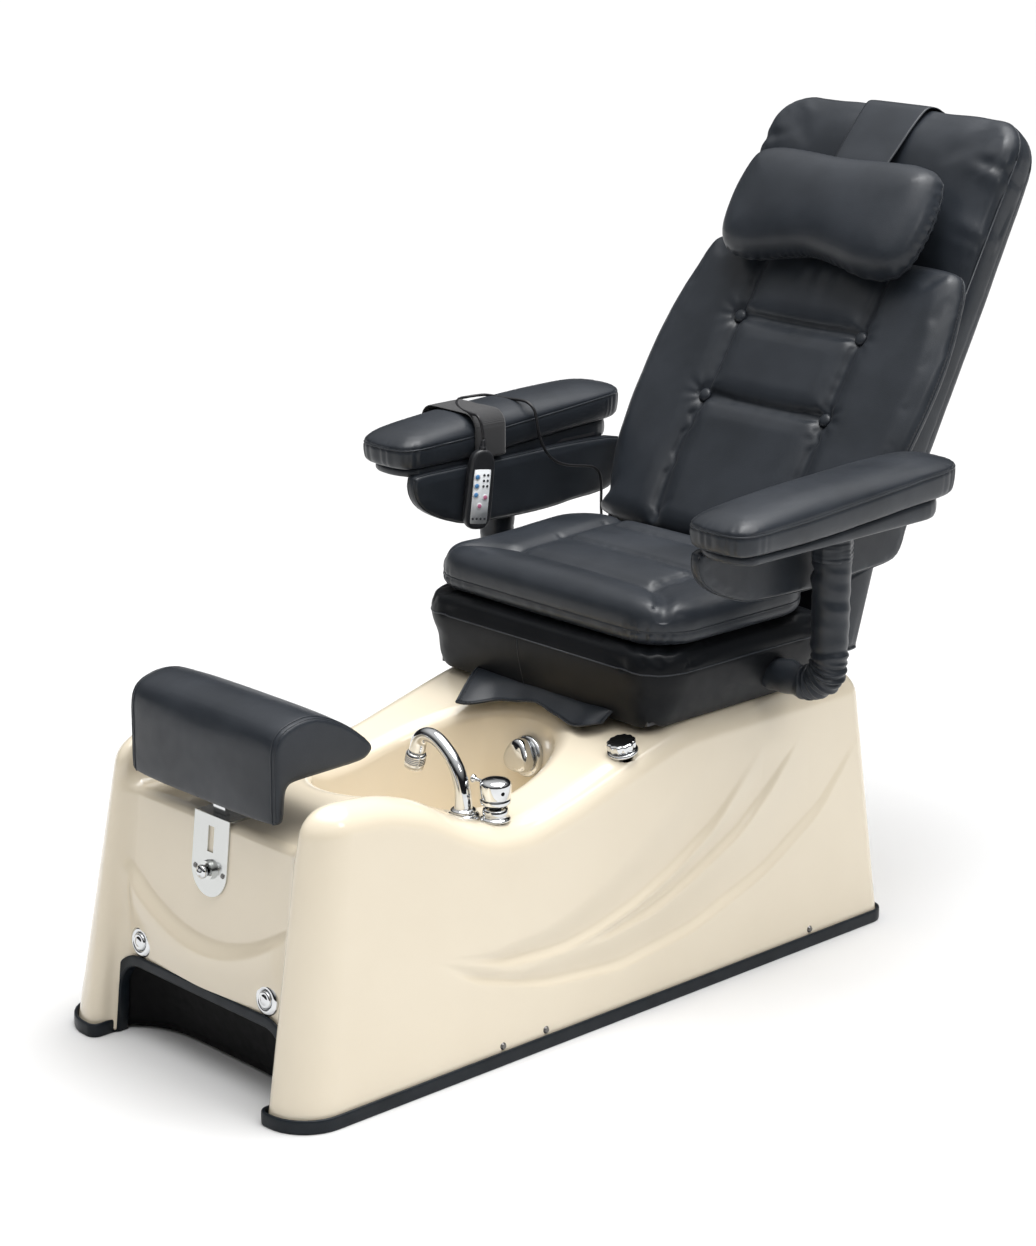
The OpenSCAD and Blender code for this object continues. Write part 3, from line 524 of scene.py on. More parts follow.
class Surface:
    """A procedural material: colour with slow variation, roughness with wear, and a fine bump."""

    def __init__(self, name, color, rough, metallic=0.0):
        self.material = bpy.data.materials.new(name)
        self.material.use_nodes = True
        self.nodes = self.material.node_tree.nodes
        self.links = self.material.node_tree.links
        self.shader = self.nodes["Principled BSDF"]
        self.shader.inputs["Base Color"].default_value = (*color, 1)
        self.shader.inputs["Roughness"].default_value = rough
        self.shader.inputs["Metallic"].default_value = metallic
        self.place = self.nodes.new("ShaderNodeTexCoord").outputs["Object"]
        self.height = None

    def set(self, **values):
        for socket, value in values.items():
            self.shader.inputs[socket.replace("_", " ")].default_value = value
        return self

    def noise(self, scale, detail=3.0, stretch=None, distortion=0.0):
        texture = self.nodes.new("ShaderNodeTexNoise")
        texture.inputs["Scale"].default_value = scale
        texture.inputs["Detail"].default_value = detail
        texture.inputs["Distortion"].default_value = distortion
        self.links.new(self.stretched(stretch), texture.inputs["Vector"])
        return texture.outputs["Fac"]

    def cells(self, scale):
        texture = self.nodes.new("ShaderNodeTexVoronoi")
        texture.inputs["Scale"].default_value = scale
        self.links.new(self.place, texture.inputs["Vector"])
        return texture.outputs["Distance"]

    def stretched(self, stretch):
        if not stretch:
            return self.place
        mapping = self.nodes.new("ShaderNodeMapping")
        mapping.inputs["Scale"].default_value = stretch
        self.links.new(self.place, mapping.inputs["Vector"])
        return mapping.outputs["Vector"]

    def ramp(self, value, low, high, a=0.35, b=0.65):
        """Colour that goes from low to high as value goes from a to b."""
        node = self.nodes.new("ShaderNodeValToRGB")
        node.color_ramp.elements[0].position = a
        node.color_ramp.elements[1].position = b
        node.color_ramp.elements[0].color = (*low, 1)
        node.color_ramp.elements[1].color = (*high, 1)
        self.links.new(value, node.inputs["Fac"])
        return node.outputs["Color"]

    def colors(self, value, low, high, a=0.35, b=0.65):
        self.links.new(self.ramp(value, low, high, a, b), self.shader.inputs["Base Color"])
        return self

    def roughness(self, value, low, high):
        node = self.nodes.new("ShaderNodeMapRange")
        node.inputs["From Min"].default_value = 0.3
        node.inputs["From Max"].default_value = 0.7
        node.inputs["To Min"].default_value = low
        node.inputs["To Max"].default_value = high
        self.links.new(value, node.inputs["Value"])
        self.links.new(node.outputs["Result"], self.shader.inputs["Roughness"])
        return self

    def bump(self, value, strength, distance):
        node = self.nodes.new("ShaderNodeBump")
        node.inputs["Strength"].default_value = strength
        node.inputs["Distance"].default_value = distance
        self.links.new(value, node.inputs["Height"])
        if self.height is not None:
            self.links.new(self.height, node.inputs["Normal"])
        self.height = node.outputs["Normal"]
        self.links.new(self.height, self.shader.inputs["Normal"])
        return self


def leather(name, shade, shine):
    # shade scales the colour: 1 gives the leather its own colour, and lower values paint shade into a darker
    # copy of it; shine scales its coat and specular
    s = Surface(name, (0.016 * shade, 0.0195 * shade, 0.026 * shade), 0.45)
    s.set(Coat_Weight=0.20 * shine, Coat_Roughness=0.27, Specular_IOR_Level=0.30 * shine, Sheen_Weight=0.03,
          Sheen_Roughness=0.5)
    dark = (0.011 * shade, 0.0145 * shade, 0.020 * shade)
    light = (0.020 * shade, 0.0245 * shade, 0.032 * shade)
    s.colors(s.noise(9, 4), dark, light)
    s.roughness(s.noise(38, 4), 0.38, 0.50)
    s.bump(s.noise(20, 4, distortion=0.4), 0.06, 0.004)
    s.bump(s.cells(620), 0.22, 0.0006)
    return s.material


def thread():
    s = Surface("thread", (0.012, 0.012, 0.014), 0.6)
    s.bump(s.noise(1800, 2), 0.4, 0.0002)
    return s.material


def gelcoat():
    s = Surface("gelcoat", (0.80, 0.71, 0.555), 0.22)
    s.set(Coat_Weight=0.55, Coat_Roughness=0.07, Coat_IOR=1.5, Specular_IOR_Level=0.5)
    s.colors(s.noise(3.2, 3), (0.785, 0.694, 0.540), (0.815, 0.726, 0.572))
    s.roughness(s.noise(45, 3), 0.19, 0.27)
    s.bump(s.noise(5.5, 2), 0.05, 0.004)
    s.bump(s.noise(320, 2), 0.02, 0.0004)
    return s.material


def trim_rubber():
    s = Surface("trim_rubber", (0.008, 0.012, 0.018), 0.36)
    s.set(Specular_IOR_Level=0.25)
    s.colors(s.noise(30, 3), (0.005, 0.008, 0.012), (0.009, 0.013, 0.018))
    s.roughness(s.noise(70, 3), 0.30, 0.46)
    s.bump(s.noise(900, 2), 0.12, 0.0003)
    return s.material


def matte_plastic(name, color, rough, shine=0.5):
    s = Surface(name, color, rough)
    s.set(Specular_IOR_Level=shine)
    s.roughness(s.noise(60, 2), rough - 0.05, rough + 0.06)
    s.bump(s.cells(1500), 0.14, 0.0002)
    return s.material


def chrome():
    s = Surface("chrome", (0.66, 0.67, 0.68), 0.05, 1.0)
    s.roughness(s.noise(55, 3), 0.035, 0.085)
    s.bump(s.noise(12, 2), 0.03, 0.001)
    return s.material


def plate_chrome():
    s = Surface("bracket_chrome", (0.60, 0.61, 0.60), 0.14, 1.0)
    s.roughness(s.noise(14, 3, stretch=(18, 18, 1)), 0.12, 0.22)
    s.bump(s.noise(60, 3, stretch=(10, 10, 0.3)), 0.04, 0.0003)
    return s.material


def steel(name, color, rough):
    s = Surface(name, color, rough, 0.85)
    s.roughness(s.noise(30, 4), rough - 0.08, rough + 0.1)
    s.bump(s.noise(500, 2), 0.10, 0.0003)
    return s.material


def paint():
    s = Surface("frame_steel", (0.035, 0.036, 0.040), 0.45)
    s.roughness(s.noise(40, 3), 0.38, 0.55)
    s.bump(s.noise(700, 2), 0.18, 0.0003)
    return s.material


def webbing():
    s = Surface("strap_web", (0.010, 0.010, 0.012), 0.75)
    s.set(Sheen_Weight=0.25, Sheen_Roughness=0.6)
    wave = s.nodes.new("ShaderNodeTexWave")
    wave.inputs["Scale"].default_value = 260
    s.links.new(s.place, wave.inputs["Vector"])
    s.bump(wave.outputs["Fac"], 0.5, 0.0006)
    s.bump(s.cells(900), 0.3, 0.0004)
    return s.material


def plain(name, color, rough):
    s = Surface(name, color, rough)
    s.bump(s.noise(400, 2), 0.06, 0.0002)
    s.roughness(s.noise(50, 2), max(rough - 0.04, 0.05), rough + 0.06)
    return s.material


LEATHER = leather("black_leather", 1.0, 1.0)
# Darker, duller copy of the same leather for the seat pan: painted shade where the pan sits under the
# cushion, between the walls of the base
PAN_PAINTED_SHADE = leather("pan_leather_painted_shade", 0.25, 0.35)
THREAD = thread()
GELCOAT = gelcoat()
TRIM = trim_rubber()
CHROME = chrome()
PLATE = plate_chrome()
PAINT = paint()
WEB = webbing()
CASE = matte_plastic("remote_plastic", (0.016, 0.017, 0.020), 0.42)
CORD = matte_plastic("cord_rubber", (0.012, 0.012, 0.014), 0.38)
DARK = matte_plastic("toe_plastic", (0.002, 0.002, 0.0025), 0.6, 0.1)


def dress(obj, material, body=None):
    """Material and body of a finished piece."""
    obj.data.materials.clear()
    obj.data.materials.append(material)
    if body:
        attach(obj, body)
    return obj


# ---------- camera ----------

def make_camera():
    data = bpy.data.cameras.new("camera")
    data.lens = 91.65
    data.sensor_width = 36
    data.clip_end = 200
    camera = link(bpy.data.objects.new("camera", data))
    camera.location = (3.565, -3.259, 2.017)
    camera.rotation_euler = (math.radians(73.523), 0, math.radians(46.981))
    scene.camera = camera


# ---------- the remote's cord ----------

CORD_R = 0.0025
CORD_ROUTE = [
    (-0.250, 0.532, 0.600), (-0.264, 0.532, 0.600), (-0.278, 0.534, 0.604), (-0.289, 0.538, 0.618),
    (-0.296, 0.544, 0.640), (-0.301, 0.549, 0.664), (-0.304, 0.548, 0.686), (-0.306, 0.536, 0.699),
    (-0.307, 0.516, 0.705), (-0.307, 0.494, 0.709), (-0.307, 0.472, 0.714), (-0.307, 0.450, 0.722),
    (-0.307, 0.432, 0.734), (-0.307, 0.418, 0.750), (-0.307, 0.408, 0.768), (-0.307, 0.402, 0.786),
    (-0.308, 0.399, 0.806), (-0.312, 0.396, 0.824), (-0.324, 0.393, 0.834), (-0.340, 0.391, 0.836),
    (-0.358, 0.390, 0.835), (-0.378, 0.389, 0.834), (-0.400, 0.387, 0.834), (-0.420, 0.382, 0.834),
    (-0.434, 0.370, 0.832), (-0.439, 0.354, 0.831), (-0.436, 0.338, 0.832), (-0.427, 0.323, 0.832),
    (-0.414, 0.309, 0.832), (-0.399, 0.297, 0.832), (-0.381, 0.286, 0.832), (-0.362, 0.277, 0.832),
    (-0.344, 0.270, 0.833), (-0.327, 0.266, 0.833), (-0.312, 0.264, 0.833), (-0.303, 0.264, 0.824),
    (-0.299, 0.265, 0.808), (-0.298, 0.2655, 0.7946)]


def make_cord():
    path = open_curve(CORD_ROUTE, 4)
    piece = tube("remote_lead", path, CORD_R, 12)
    dress(piece, CORD)
    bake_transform(piece)
    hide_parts("remote_cord")


# ---------- base ----------

crest = line(CREST, 0.05)
ledge = line([(-0.7, LEDGE_Z), (-0.24, LEDGE_Z), (-0.10, 0.60), (0.7, 0.60)], 0.04)

# lower edges of the leaf-shaped relief on each side wall, and the edge above it, as height along Y
LEAF_TOP = line([(-0.385, 0.205), (-0.25, 0.181), (-0.136, 0.185), (-0.057, 0.205), (0.025, 0.238),
                 (0.108, 0.288), (0.160, 0.323), (0.24, 0.375)], 0.04)
LEAF_MID = line([(-0.385, 0.205), (-0.214, 0.152), (-0.10, 0.143), (-0.021, 0.154), (0.061, 0.174),
                 (0.145, 0.207), (0.239, 0.256), (0.311, 0.318), (0.36, 0.365)], 0.04)
LEAF_LOW = line([(-0.385, 0.205), (-0.20, 0.135), (-0.013, 0.138), (0.101, 0.154), (0.185, 0.184),
                 (0.298, 0.232), (0.37, 0.285), (0.43, 0.34), (0.47, 0.385)], 0.04)
LEAF_EDGE = line([(-0.385, 0.205), (-0.289, 0.144), (-0.142, 0.099), (0.015, 0.082), (0.180, 0.100),
                  (0.354, 0.153), (0.491, 0.225), (0.577, 0.312), (0.62, 0.36)], 0.04)
LEAF_DEPTH = 0.0095


def leaf(y, z, lower, upper, y0, y1):
    """Depth of one petal of the relief: a scoop, deepest just above its lower edge."""
    gap = np.maximum(upper(y) - lower(y), 0.004)
    above = z - lower(y)
    share = above / gap
    ends = smooth((y - y0) / 0.16) * smooth((y1 - y) / 0.22) * smooth(gap / 0.030)
    return LEAF_DEPTH * smooth(above / 0.020 + 0.25) * smooth(1.15 - share) * (share > -0.5) * ends


def relief(y, z):
    return (leaf(y, z, LEAF_EDGE, LEAF_LOW, -0.40, 0.63) + leaf(y, z, LEAF_LOW, LEAF_MID, -0.16, 0.50)
            + leaf(y, z, LEAF_MID, LEAF_TOP, -0.40, 0.38))


def block(x, y, z):
    """The drafted block of the base, with the relief on its sides."""
    k = z / DRAFT_TOP
    half_x = BASE_HALF_W - SIDE_DRAFT * k - relief(y, z) * smooth((np.abs(x) - 0.2) / 0.04)
    low_y = -BASE_HALF_L + FRONT_DRAFT * k
    high_y = BASE_HALF_L - REAR_DRAFT * k
    r = FRONT_CORNER + (REAR_CORNER - FRONT_CORNER) * smooth(y + 0.5)
    return rounded_box(x, y - (low_y + high_y) / 2, half_x, (high_y - low_y) / 2, r)


def wall_y(x, z):
    """Face of the front wall, with the raised line that curves across it like a smile."""
    smile = 0.203 + 1.9 * x * x
    below = smile - z
    raised = 0.015 * smooth((below + 0.012) / 0.028) * np.exp(-(np.maximum(below - 0.014, 0) / 0.060) ** 2)
    raised = raised * smooth((0.215 - np.abs(x)) / 0.05)
    return RECESS_Y + z * math.tan(RECESS_LEAN) - raised


def basin(x, y, z):
    rise = np.clip(z - BASIN_FLOOR, -0.05, 0.4)
    rx = BASIN_R[0] + BASIN_R_GROWTH[0] * rise
    ry = BASIN_R[1] + BASIN_R_GROWTH[1] * rise
    ring = (np.sqrt((x / rx) ** 2 + ((y - BASIN_Y) / ry) ** 2) - 1) * rx
    return both(ring, BASIN_FLOOR - z, 0.055)


def base_solid(x, y, z):
    legs = RECESS_HALF - np.abs(x)
    middle = both(wall_y(x, z) - y, z - ledge(y), 0.014)
    top = (z - crest(y)) * 0.95
    d = both(block(x, y, z), top, 0.042)
    d = both(d, either(legs, middle, 0.026), 0.022)
    return both(d, -basin(x, y, z), 0.024)


def arch(x, y, z):
    """The opening at the foot of the front wall."""
    up = z / math.cos(RECESS_LEAN)
    hole = both(np.abs(x) - ARCH_HALF, up - ARCH_TOP, ARCH_R)
    return np.maximum(hole, np.abs(y - RECESS_Y - 0.01) - 0.045)


# stems and pins that pass through the shell, as (x, y, z, axis, radius, half length)
SHELL_HOLES = [(SPOUT_X, SPOUT_Y, 0.36, 2, 0.0125, 0.03), (MIXER_X, MIXER_Y, 0.36, 2, 0.0145, 0.03),
               (0.238, 0.070, 0.40, 2, 0.0150, 0.03), (0.0, -0.115, 0.15, 2, 0.0262, 0.03),
               (0.0, 0.100, 0.345, 1, 0.0205, 0.04), (0.0, -0.555, 0.318, 1, 0.0095, 0.04),
               (0.154, -0.57, 0.163, 1, 0.0168, 0.03), (-0.154, -0.57, 0.163, 1, 0.0168, 0.03)]


def shell_field(x, y, z):
    d = base_solid(x, y, z)
    for hx, hy in ((SPOUT_X, SPOUT_Y), (MIXER_X, MIXER_Y)):
        seat = np.maximum(np.sqrt((x - hx) ** 2 + (y - hy) ** 2) - 0.0265, 0.3649 - z)
        d = both(d, -seat, 0.004)
    d = both(d, -(d + SHELL_T), 0.001)
    d = np.maximum(d, SOLE_Z - z)
    d = both(d, -arch(x, y, z), 0.003)
    post = np.maximum(np.abs(x) - 0.0175, np.abs(y + 0.538) - 0.008)
    d = np.maximum(d, -np.maximum(post, 0.35 - z))
    for hx, hy, hz, axis, r, half in SHELL_HOLES:
        away = [x - hx, y - hy, z - hz]
        along = away.pop(axis)
        d = np.maximum(d, -np.maximum(np.sqrt(away[0] ** 2 + away[1] ** 2) - r, np.abs(along) - half))
    return d


def make_shell():
    low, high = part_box("base_shell")
    step = 0.004
    shell = skin("foot_bath_shell", shell_field, low, high, step)
    direction = gradient(shell_field, coords(shell))
    direction /= np.maximum(np.linalg.norm(direction, axis=1, keepdims=True), 1e-9)
    shell.data.normals_split_custom_set_from_vertices([tuple(map(float, d)) for d in direction])
    dress(shell, GELCOAT, "base")
    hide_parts("base_shell")


def sole_path():
    """Line of the rubber edging around the foot of the walls, on one side, from the recess to the rear."""
    inner = RECESS_HALF
    front = -BASE_HALF_L
    turns = [((inner, RECESS_Y + 0.004), None), ((inner, front + 0.012), None)]
    path = [t[0] for t in turns]
    for cx, cy, r, a0, a1 in ((inner + 0.012, front + 0.012, 0.012, 180, 270),
                              (BASE_HALF_W - FRONT_CORNER, front + FRONT_CORNER, FRONT_CORNER, 270, 360),
                              (BASE_HALF_W - REAR_CORNER, BASE_HALF_L - REAR_CORNER, REAR_CORNER, 0, 90)):
        for a in np.radians(np.linspace(a0, a1, 10)):
            path.append((cx + r * math.cos(a), cy + r * math.sin(a)))
    return np.array(path)


def make_edging():
    """Rubber edging: around the foot, and in one band over the arch."""
    half = sole_path()
    other = half[::-1] * (-1, 1)
    flat = np.vstack([half, other])
    path = np.column_stack([flat, np.full(len(flat), 0.011)])
    heading = np.gradient(path, axis=0)
    heading /= np.maximum(np.linalg.norm(heading, axis=1, keepdims=True), 1e-9)
    out = np.column_stack([heading[:, 1], -heading[:, 0], np.zeros(len(path))])
    foot = band("foot_edging", path - out * 0.001, (0, 0, 1), out, 0.022, 0.006)
    arc = []
    mid = ARCH_HALF + 0.0085
    rise = ARCH_TOP + 0.0085
    r = ARCH_R + 0.0085
    arc.append((mid, 0.002))
    for a in np.radians(np.linspace(0, 90, 12)):
        arc.append((mid - r + r * math.cos(a), rise - r + r * math.sin(a)))
    arc = np.array(arc)
    arc = np.vstack([arc, arc[::-1] * (-1, 1)])
    across = np.gradient(arc, axis=0)
    across /= np.maximum(np.linalg.norm(across, axis=1, keepdims=True), 1e-9)
    lean = np.array([0, math.sin(RECESS_LEAN), math.cos(RECESS_LEAN)])
    out = np.array([0, -math.cos(RECESS_LEAN), math.sin(RECESS_LEAN)])
    points = np.array([[x, RECESS_Y - 0.0015, 0] + lean * up for x, up in arc])
    side = np.array([[dy, 0, 0] - lean * dx for dx, dy in across])
    over = band("arch_edging", points, side, out, 0.017, 0.0055)
    edge = np.array([[x, RECESS_Y + 0.0055, 0] + lean * up for x, up in arc])
    edge = edge + side * -0.0095
    lip = band("arch_lip", edge, (0, 1, 0), side, 0.020, 0.004)
    edging = joined("rubber_edging", [foot, over, lip])
    dress(edging, TRIM, "base")
    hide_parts("base_trim")


def make_toe_panel():
    """Dark panel behind the arch, bowed inwards."""
    columns, rows = 33, 9
    points = []
    for j in range(rows):
        for i in range(columns):
            s = 2 * i / (columns - 1) - 1
            up = j / (rows - 1)
            y = -0.535 - 0.034 * up - (0.050 - 0.045 * up) * abs(s) ** 5
            points.append((0.206 * s, y, 0.008 + 0.134 * up))
    panel = thickened(make("toe_opening_panel", points, sheet_faces(columns, rows)), 0.003, -1)
    dress(panel, DARK, "base")
    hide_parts("toe_panel")


# ---------- taps and controls ----------

def make_spout():
    x, y = SPOUT_X, SPOUT_Y
    foot = 0.3724
    path = open_curve([(x, y, foot), (x, y, foot + 0.016), (x - 0.002, y, foot + 0.036),
                       (x - 0.012, y, foot + 0.062), (x - 0.030, y, foot + 0.084),
                       (x - 0.056, y, foot + 0.101), (x - 0.080, y, foot + 0.104),
                       (x - 0.098, y, foot + 0.093), (x - 0.1055, y, foot + 0.072)], 7)
    size = line([(0, 0.0165), (0.07, 0.0140), (0.3, 0.0120), (0.55, 0.0112), (0.78, 0.0116), (0.9, 0.0126),
                 (1, 0.0130)], 0.03)
    neck = tube("spout_neck", path, lambda share, angle: float(size(share)), 32)
    ring = [(0.0005, 0), (0.0195, 0), (0.0208, 0.002), (0.0195, 0.005), (0.0160, 0.007), (0.0005, 0.0075)]
    collar = lathe("spout_collar", ring, (x, y, foot - 0.0004), (0, 0, 1))
    piece = joined("bath_spout", [neck, collar])
    dress(piece, CHROME, "spout")
    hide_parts("spout")
    return path


def make_nozzle(path):
    axis = path[-1] - path[-3]
    axis /= np.linalg.norm(axis)
    start = path[-1] + axis * 0.0022
    profile = [(0.0005, 0), (0.0130, 0), (0.0142, 0.0008), (0.0148, 0.0015)]
    for i in range(5):
        z = 0.004 + i * 0.003
        profile += [(0.0163, z), (0.0163, z + 0.0014), (0.0150, z + 0.0018), (0.0150, z + 0.0026)]
    profile += [(0.0154, 0.0205), (0.0154, 0.0260), (0.0134, 0.0275), (0.0115, 0.0272), (0.0108, 0.0255),
                (0.0005, 0.0255)]
    piece = lathe("spray_head", profile, start, axis, 48)
    dress(piece, CHROME, "nozzle")
    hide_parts("spray_nozzle")


def turned(name, profile, place, axis, node, body="base", **lobes):
    """Turned chrome piece that stands for one CAD node."""
    piece = lathe(name, profile, place, axis, 96, **lobes)
    dress(piece, CHROME, body)
    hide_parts(node)


def make_taps():
    make_nozzle(make_spout())
    turned("spout_rose", [(0.0126, -0.020), (0.0126, 0), (0.0262, 0), (0.0262, 0.0015), (0.0240, 0.0045),
                          (0.0205, 0.0068), (0.0185, 0.0072), (0.0078, 0.0072), (0.0078, -0.020)],
           (SPOUT_X, SPOUT_Y, 0.365), (0, 0, 1), "spout_escutcheon")
    turned("mixer_foot", [(0.0135, -0.055), (0.0135, 0), (0.0235, 0), (0.0235, 0.002), (0.0222, 0.0038),
                          (0.0195, 0.0046), (0.0188, 0.0080), (0.0200, 0.0092), (0.0200, 0.0150),
                          (0.0192, 0.0162), (0.0190, 0.0180), (0.0093, 0.0180), (0.0093, -0.055)],
           (MIXER_X, MIXER_Y, 0.365), (0, 0, 1), "mixer_body")
    lever = math.radians(193)
    head = lathe("mixer_head", [(0.0142, 0.020), (0.0225, 0.020), (0.0236, 0.0212), (0.0240, 0.024),
                                (0.0240, 0.0275), (0.0229, 0.0285), (0.0229, 0.0300), (0.0242, 0.0312),
                                (0.0244, 0.050), (0.0236, 0.0535), (0.0203, 0.0568), (0.0130, 0.0590),
                                (0.0005, 0.0598)], (MIXER_X, MIXER_Y, 0.371), (0, 0, 1), 96)
    away = np.array([math.cos(lever), math.sin(lever), 0.10])
    away /= np.linalg.norm(away)
    start = np.array([MIXER_X, MIXER_Y, 0.4185]) + away * 0.019
    stalk_r = line([(0, 0.0038), (0.35, 0.0026), (0.62, 0.0030), (0.74, 0.0060), (0.86, 0.0068),
                    (1, 0.0012)], 0.05)
    stalk = tube("mixer_stalk", [start + away * 0.027 * t for t in np.linspace(0, 1, 30)],
                 lambda share, angle: float(stalk_r(share)), 24)
    piece = joined("mixer_lever", [head, stalk])
    dress(piece, CHROME, "mixer_handle")
    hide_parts("mixer_handle")
    dot = lathe("mixer_dot", [(0.0002, 0), (0.0030, 0), (0.0032, 0.0004), (0.0022, 0.0009), (0.0002, 0.0010)],
                (0.2491, -0.1960, 0.4125), (0.97, -0.25, 0), 24)
    dress(dot, DARK, "mixer_handle")


def make_controls():
    tilt = math.radians(10)
    axis = (0, -math.cos(tilt), math.sin(tilt))
    place = Vector((0, 0.090, 0.345))
    turned("overflow_rose", [(0.0083, -0.018), (0.0190, -0.038), (0.0190, -0.002), (0.0345, -0.002),
                             (0.0345, 0.004), (0.0325, 0.0072), (0.0290, 0.0082), (0.0083, 0.0082),
                             (0.0083, -0.018)],
           place, axis, "overflow_body")
    turned("overflow_handle", [(0.0076, -0.014), (0.0076, 0.0085), (0.0240, 0.0088), (0.0285, 0.0105),
                               (0.0300, 0.0150), (0.0300, 0.0250), (0.0290, 0.0285), (0.0260, 0.0312),
                               (0.0200, 0.0322), (0.0005, 0.0325)],
           place, axis, "overflow_knob", body="overflow_knob", lobes=3, depth=0.16, twist=0.5)
    slope = math.atan(22 / 80)
    up = (0, -math.sin(slope), math.cos(slope))
    seat = Vector((0.238, 0.070, 0.41625))
    turned("air_rose", [(0.0063, -0.018), (0.0135, -0.018), (0.0135, -0.001), (0.0250, -0.001),
                        (0.0250, 0.0012), (0.0240, 0.0034), (0.0215, 0.0040), (0.0063, 0.0040),
                        (0.0063, -0.018)],
           seat, up, "air_valve_body")
    turned("air_handle", [(0.0058, -0.014), (0.0058, 0.0044), (0.0195, 0.0046), (0.0222, 0.0060),
                          (0.0236, 0.0100), (0.0240, 0.0150), (0.0236, 0.0176), (0.0222, 0.0190),
                          (0.0190, 0.0196), (0.0005, 0.0192)],
           seat, up, "air_knob", body="air_knob", lobes=12, depth=0.075)


def make_buttons():
    lean = RECESS_LEAN
    out = (0, -math.cos(lean), math.sin(lean))
    for side, s in (("left", -1), ("right", 1)):
        up = 0.161 / math.cos(lean)
        place = Vector((s * 0.154, RECESS_Y + up * math.sin(lean), up * math.cos(lean)))
        ring = lathe("bezel_" + side, [(0.0141, -0.024), (0.0160, -0.028), (0.0160, -0.001), (0.0252, -0.001),
                                       (0.0254, 0.0020), (0.0240, 0.0048), (0.0205, 0.0068), (0.0172, 0.0072),
                                       (0.0152, 0.0058), (0.0141, 0.0040), (0.0141, -0.024)], place, out, 72)
        dress(ring, CHROME, "base")
        if s > 0:
            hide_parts("button_bezels")
        turned("press_" + side, [(0.0005, -0.014), (0.0137, -0.014), (0.0137, 0.0068), (0.0128, 0.0086),
                                 (0.0105, 0.0098), (0.0090, 0.0088), (0.0078, 0.0098), (0.0040, 0.0106),
                                 (0.0005, 0.0108)],
               place, out, "air_button_" + side, body="air_button_" + side)


def make_lock():
    """Pull knob of the footrest lock, with its turned head and pin."""
    start = Vector((0, -0.5424, 0.318))
    turned("lock_pull", [(0.0005, 0), (0.0038, 0), (0.0038, 0.0300), (0.0085, 0.0310), (0.0105, 0.0330),
                         (0.0108, 0.0360), (0.0100, 0.0385), (0.0070, 0.0400), (0.0058, 0.0402),
                         (0.0052, 0.0425), (0.0030, 0.0440), (0.0005, 0.0444)],
           start, (0, -1, 0), "lock_knob", body="lock")


# ---------- upholstery ----------

def padding(obj, body, node, material=LEATHER):
    """Material, body and hidden CAD node of a finished cushion; the material is leather unless another is
    given.
    """
    dress(obj, material, body)
    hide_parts(node)


def seam(name, obj, path, body, r):
    """Raised edge of a sewn seam, lying on obj along the path."""
    piece = tube(name, onto(obj, path, 0.0002), r, 8)
    dress(piece, LEATHER, body)


def arc_points(cx, cy, rx, ry, a0, a1, n):
    return [(cx + rx * math.cos(a), cy + ry * math.sin(a)) for a in np.radians(np.linspace(a0, a1, n))]


def make_footrest():
    outline = closed_curve([(-0.577, 0.440), (-0.577, 0.500), (-0.576, 0.546), (-0.567, 0.569),
                            (-0.550, 0.581), (-0.522, 0.588), (-0.494, 0.587), (-0.465, 0.577),
                            (-0.438, 0.563), (-0.410, 0.543), (-0.389, 0.524), (-0.384, 0.513),
                            (-0.390, 0.502), (-0.410, 0.493), (-0.470, 0.491), (-0.530, 0.490),
                            (-0.546, 0.486), (-0.551, 0.470), (-0.554, 0.440), (-0.563, 0.431),
                            (-0.572, 0.431)], 3)

    def field(x, y, z):
        return puff(outline_distance(outline, y, z), x, 0.012, 0.176, 4.0)

    piece = skin("footrest_pad", field, (-0.18, -0.58, 0.428), (0.18, -0.38, 0.59), 0.005)
    p = coords(piece)
    held = 1.0 * ((np.abs(np.abs(p[:, 0]) - 0.170) < 0.004) | (p[:, 2] < 0.446))
    inflate(piece, 2.0, 0.0035, held)
    refine(piece)
    centre = outline.mean(0)
    rims = []
    for s in (-1, 1):
        for x, shrink in ((0.1745, 0.004), (0.166, 0.0)):
            rims.append(looped([(s * x, a, b) for a, b in outline * (1 - shrink) + centre * shrink]))
    groove(piece, rims, 0.0012, 0.0026, 0.0002)
    padding(piece, "footrest", "footrest_cushion")
    for i, loop in enumerate(rims):
        seam("footrest_piping_%d" % i, piece, loop, "footrest", 0.0012 if i % 2 else 0.0009)


def seat_plan(x, y):
    return rounded_box(x, y - 0.2965, 0.280, 0.186, 0.085)


SEAT_SEAM_Z = 0.5985
TUFT_X = 0.158
TUFT_Y = 0.212


def seat_channels():
    """Sewn lines on top of the cushion, as paths in plan."""
    paths = [[(-TUFT_X, TUFT_Y), (TUFT_X, TUFT_Y)], [(-TUFT_X, 0.320), (TUFT_X, 0.320)],
             [(-TUFT_X, 0.425), (TUFT_X, 0.425)]]
    for s in (-1, 1):
        paths.append([(s * TUFT_X, 0.47), (s * TUFT_X, TUFT_Y)])
        paths.append([(s * TUFT_X, TUFT_Y), (s * 0.205, 0.188), (s * 0.238, 0.158), (s * 0.262, 0.128)])
    return [open_curve(p, 8) for p in paths]


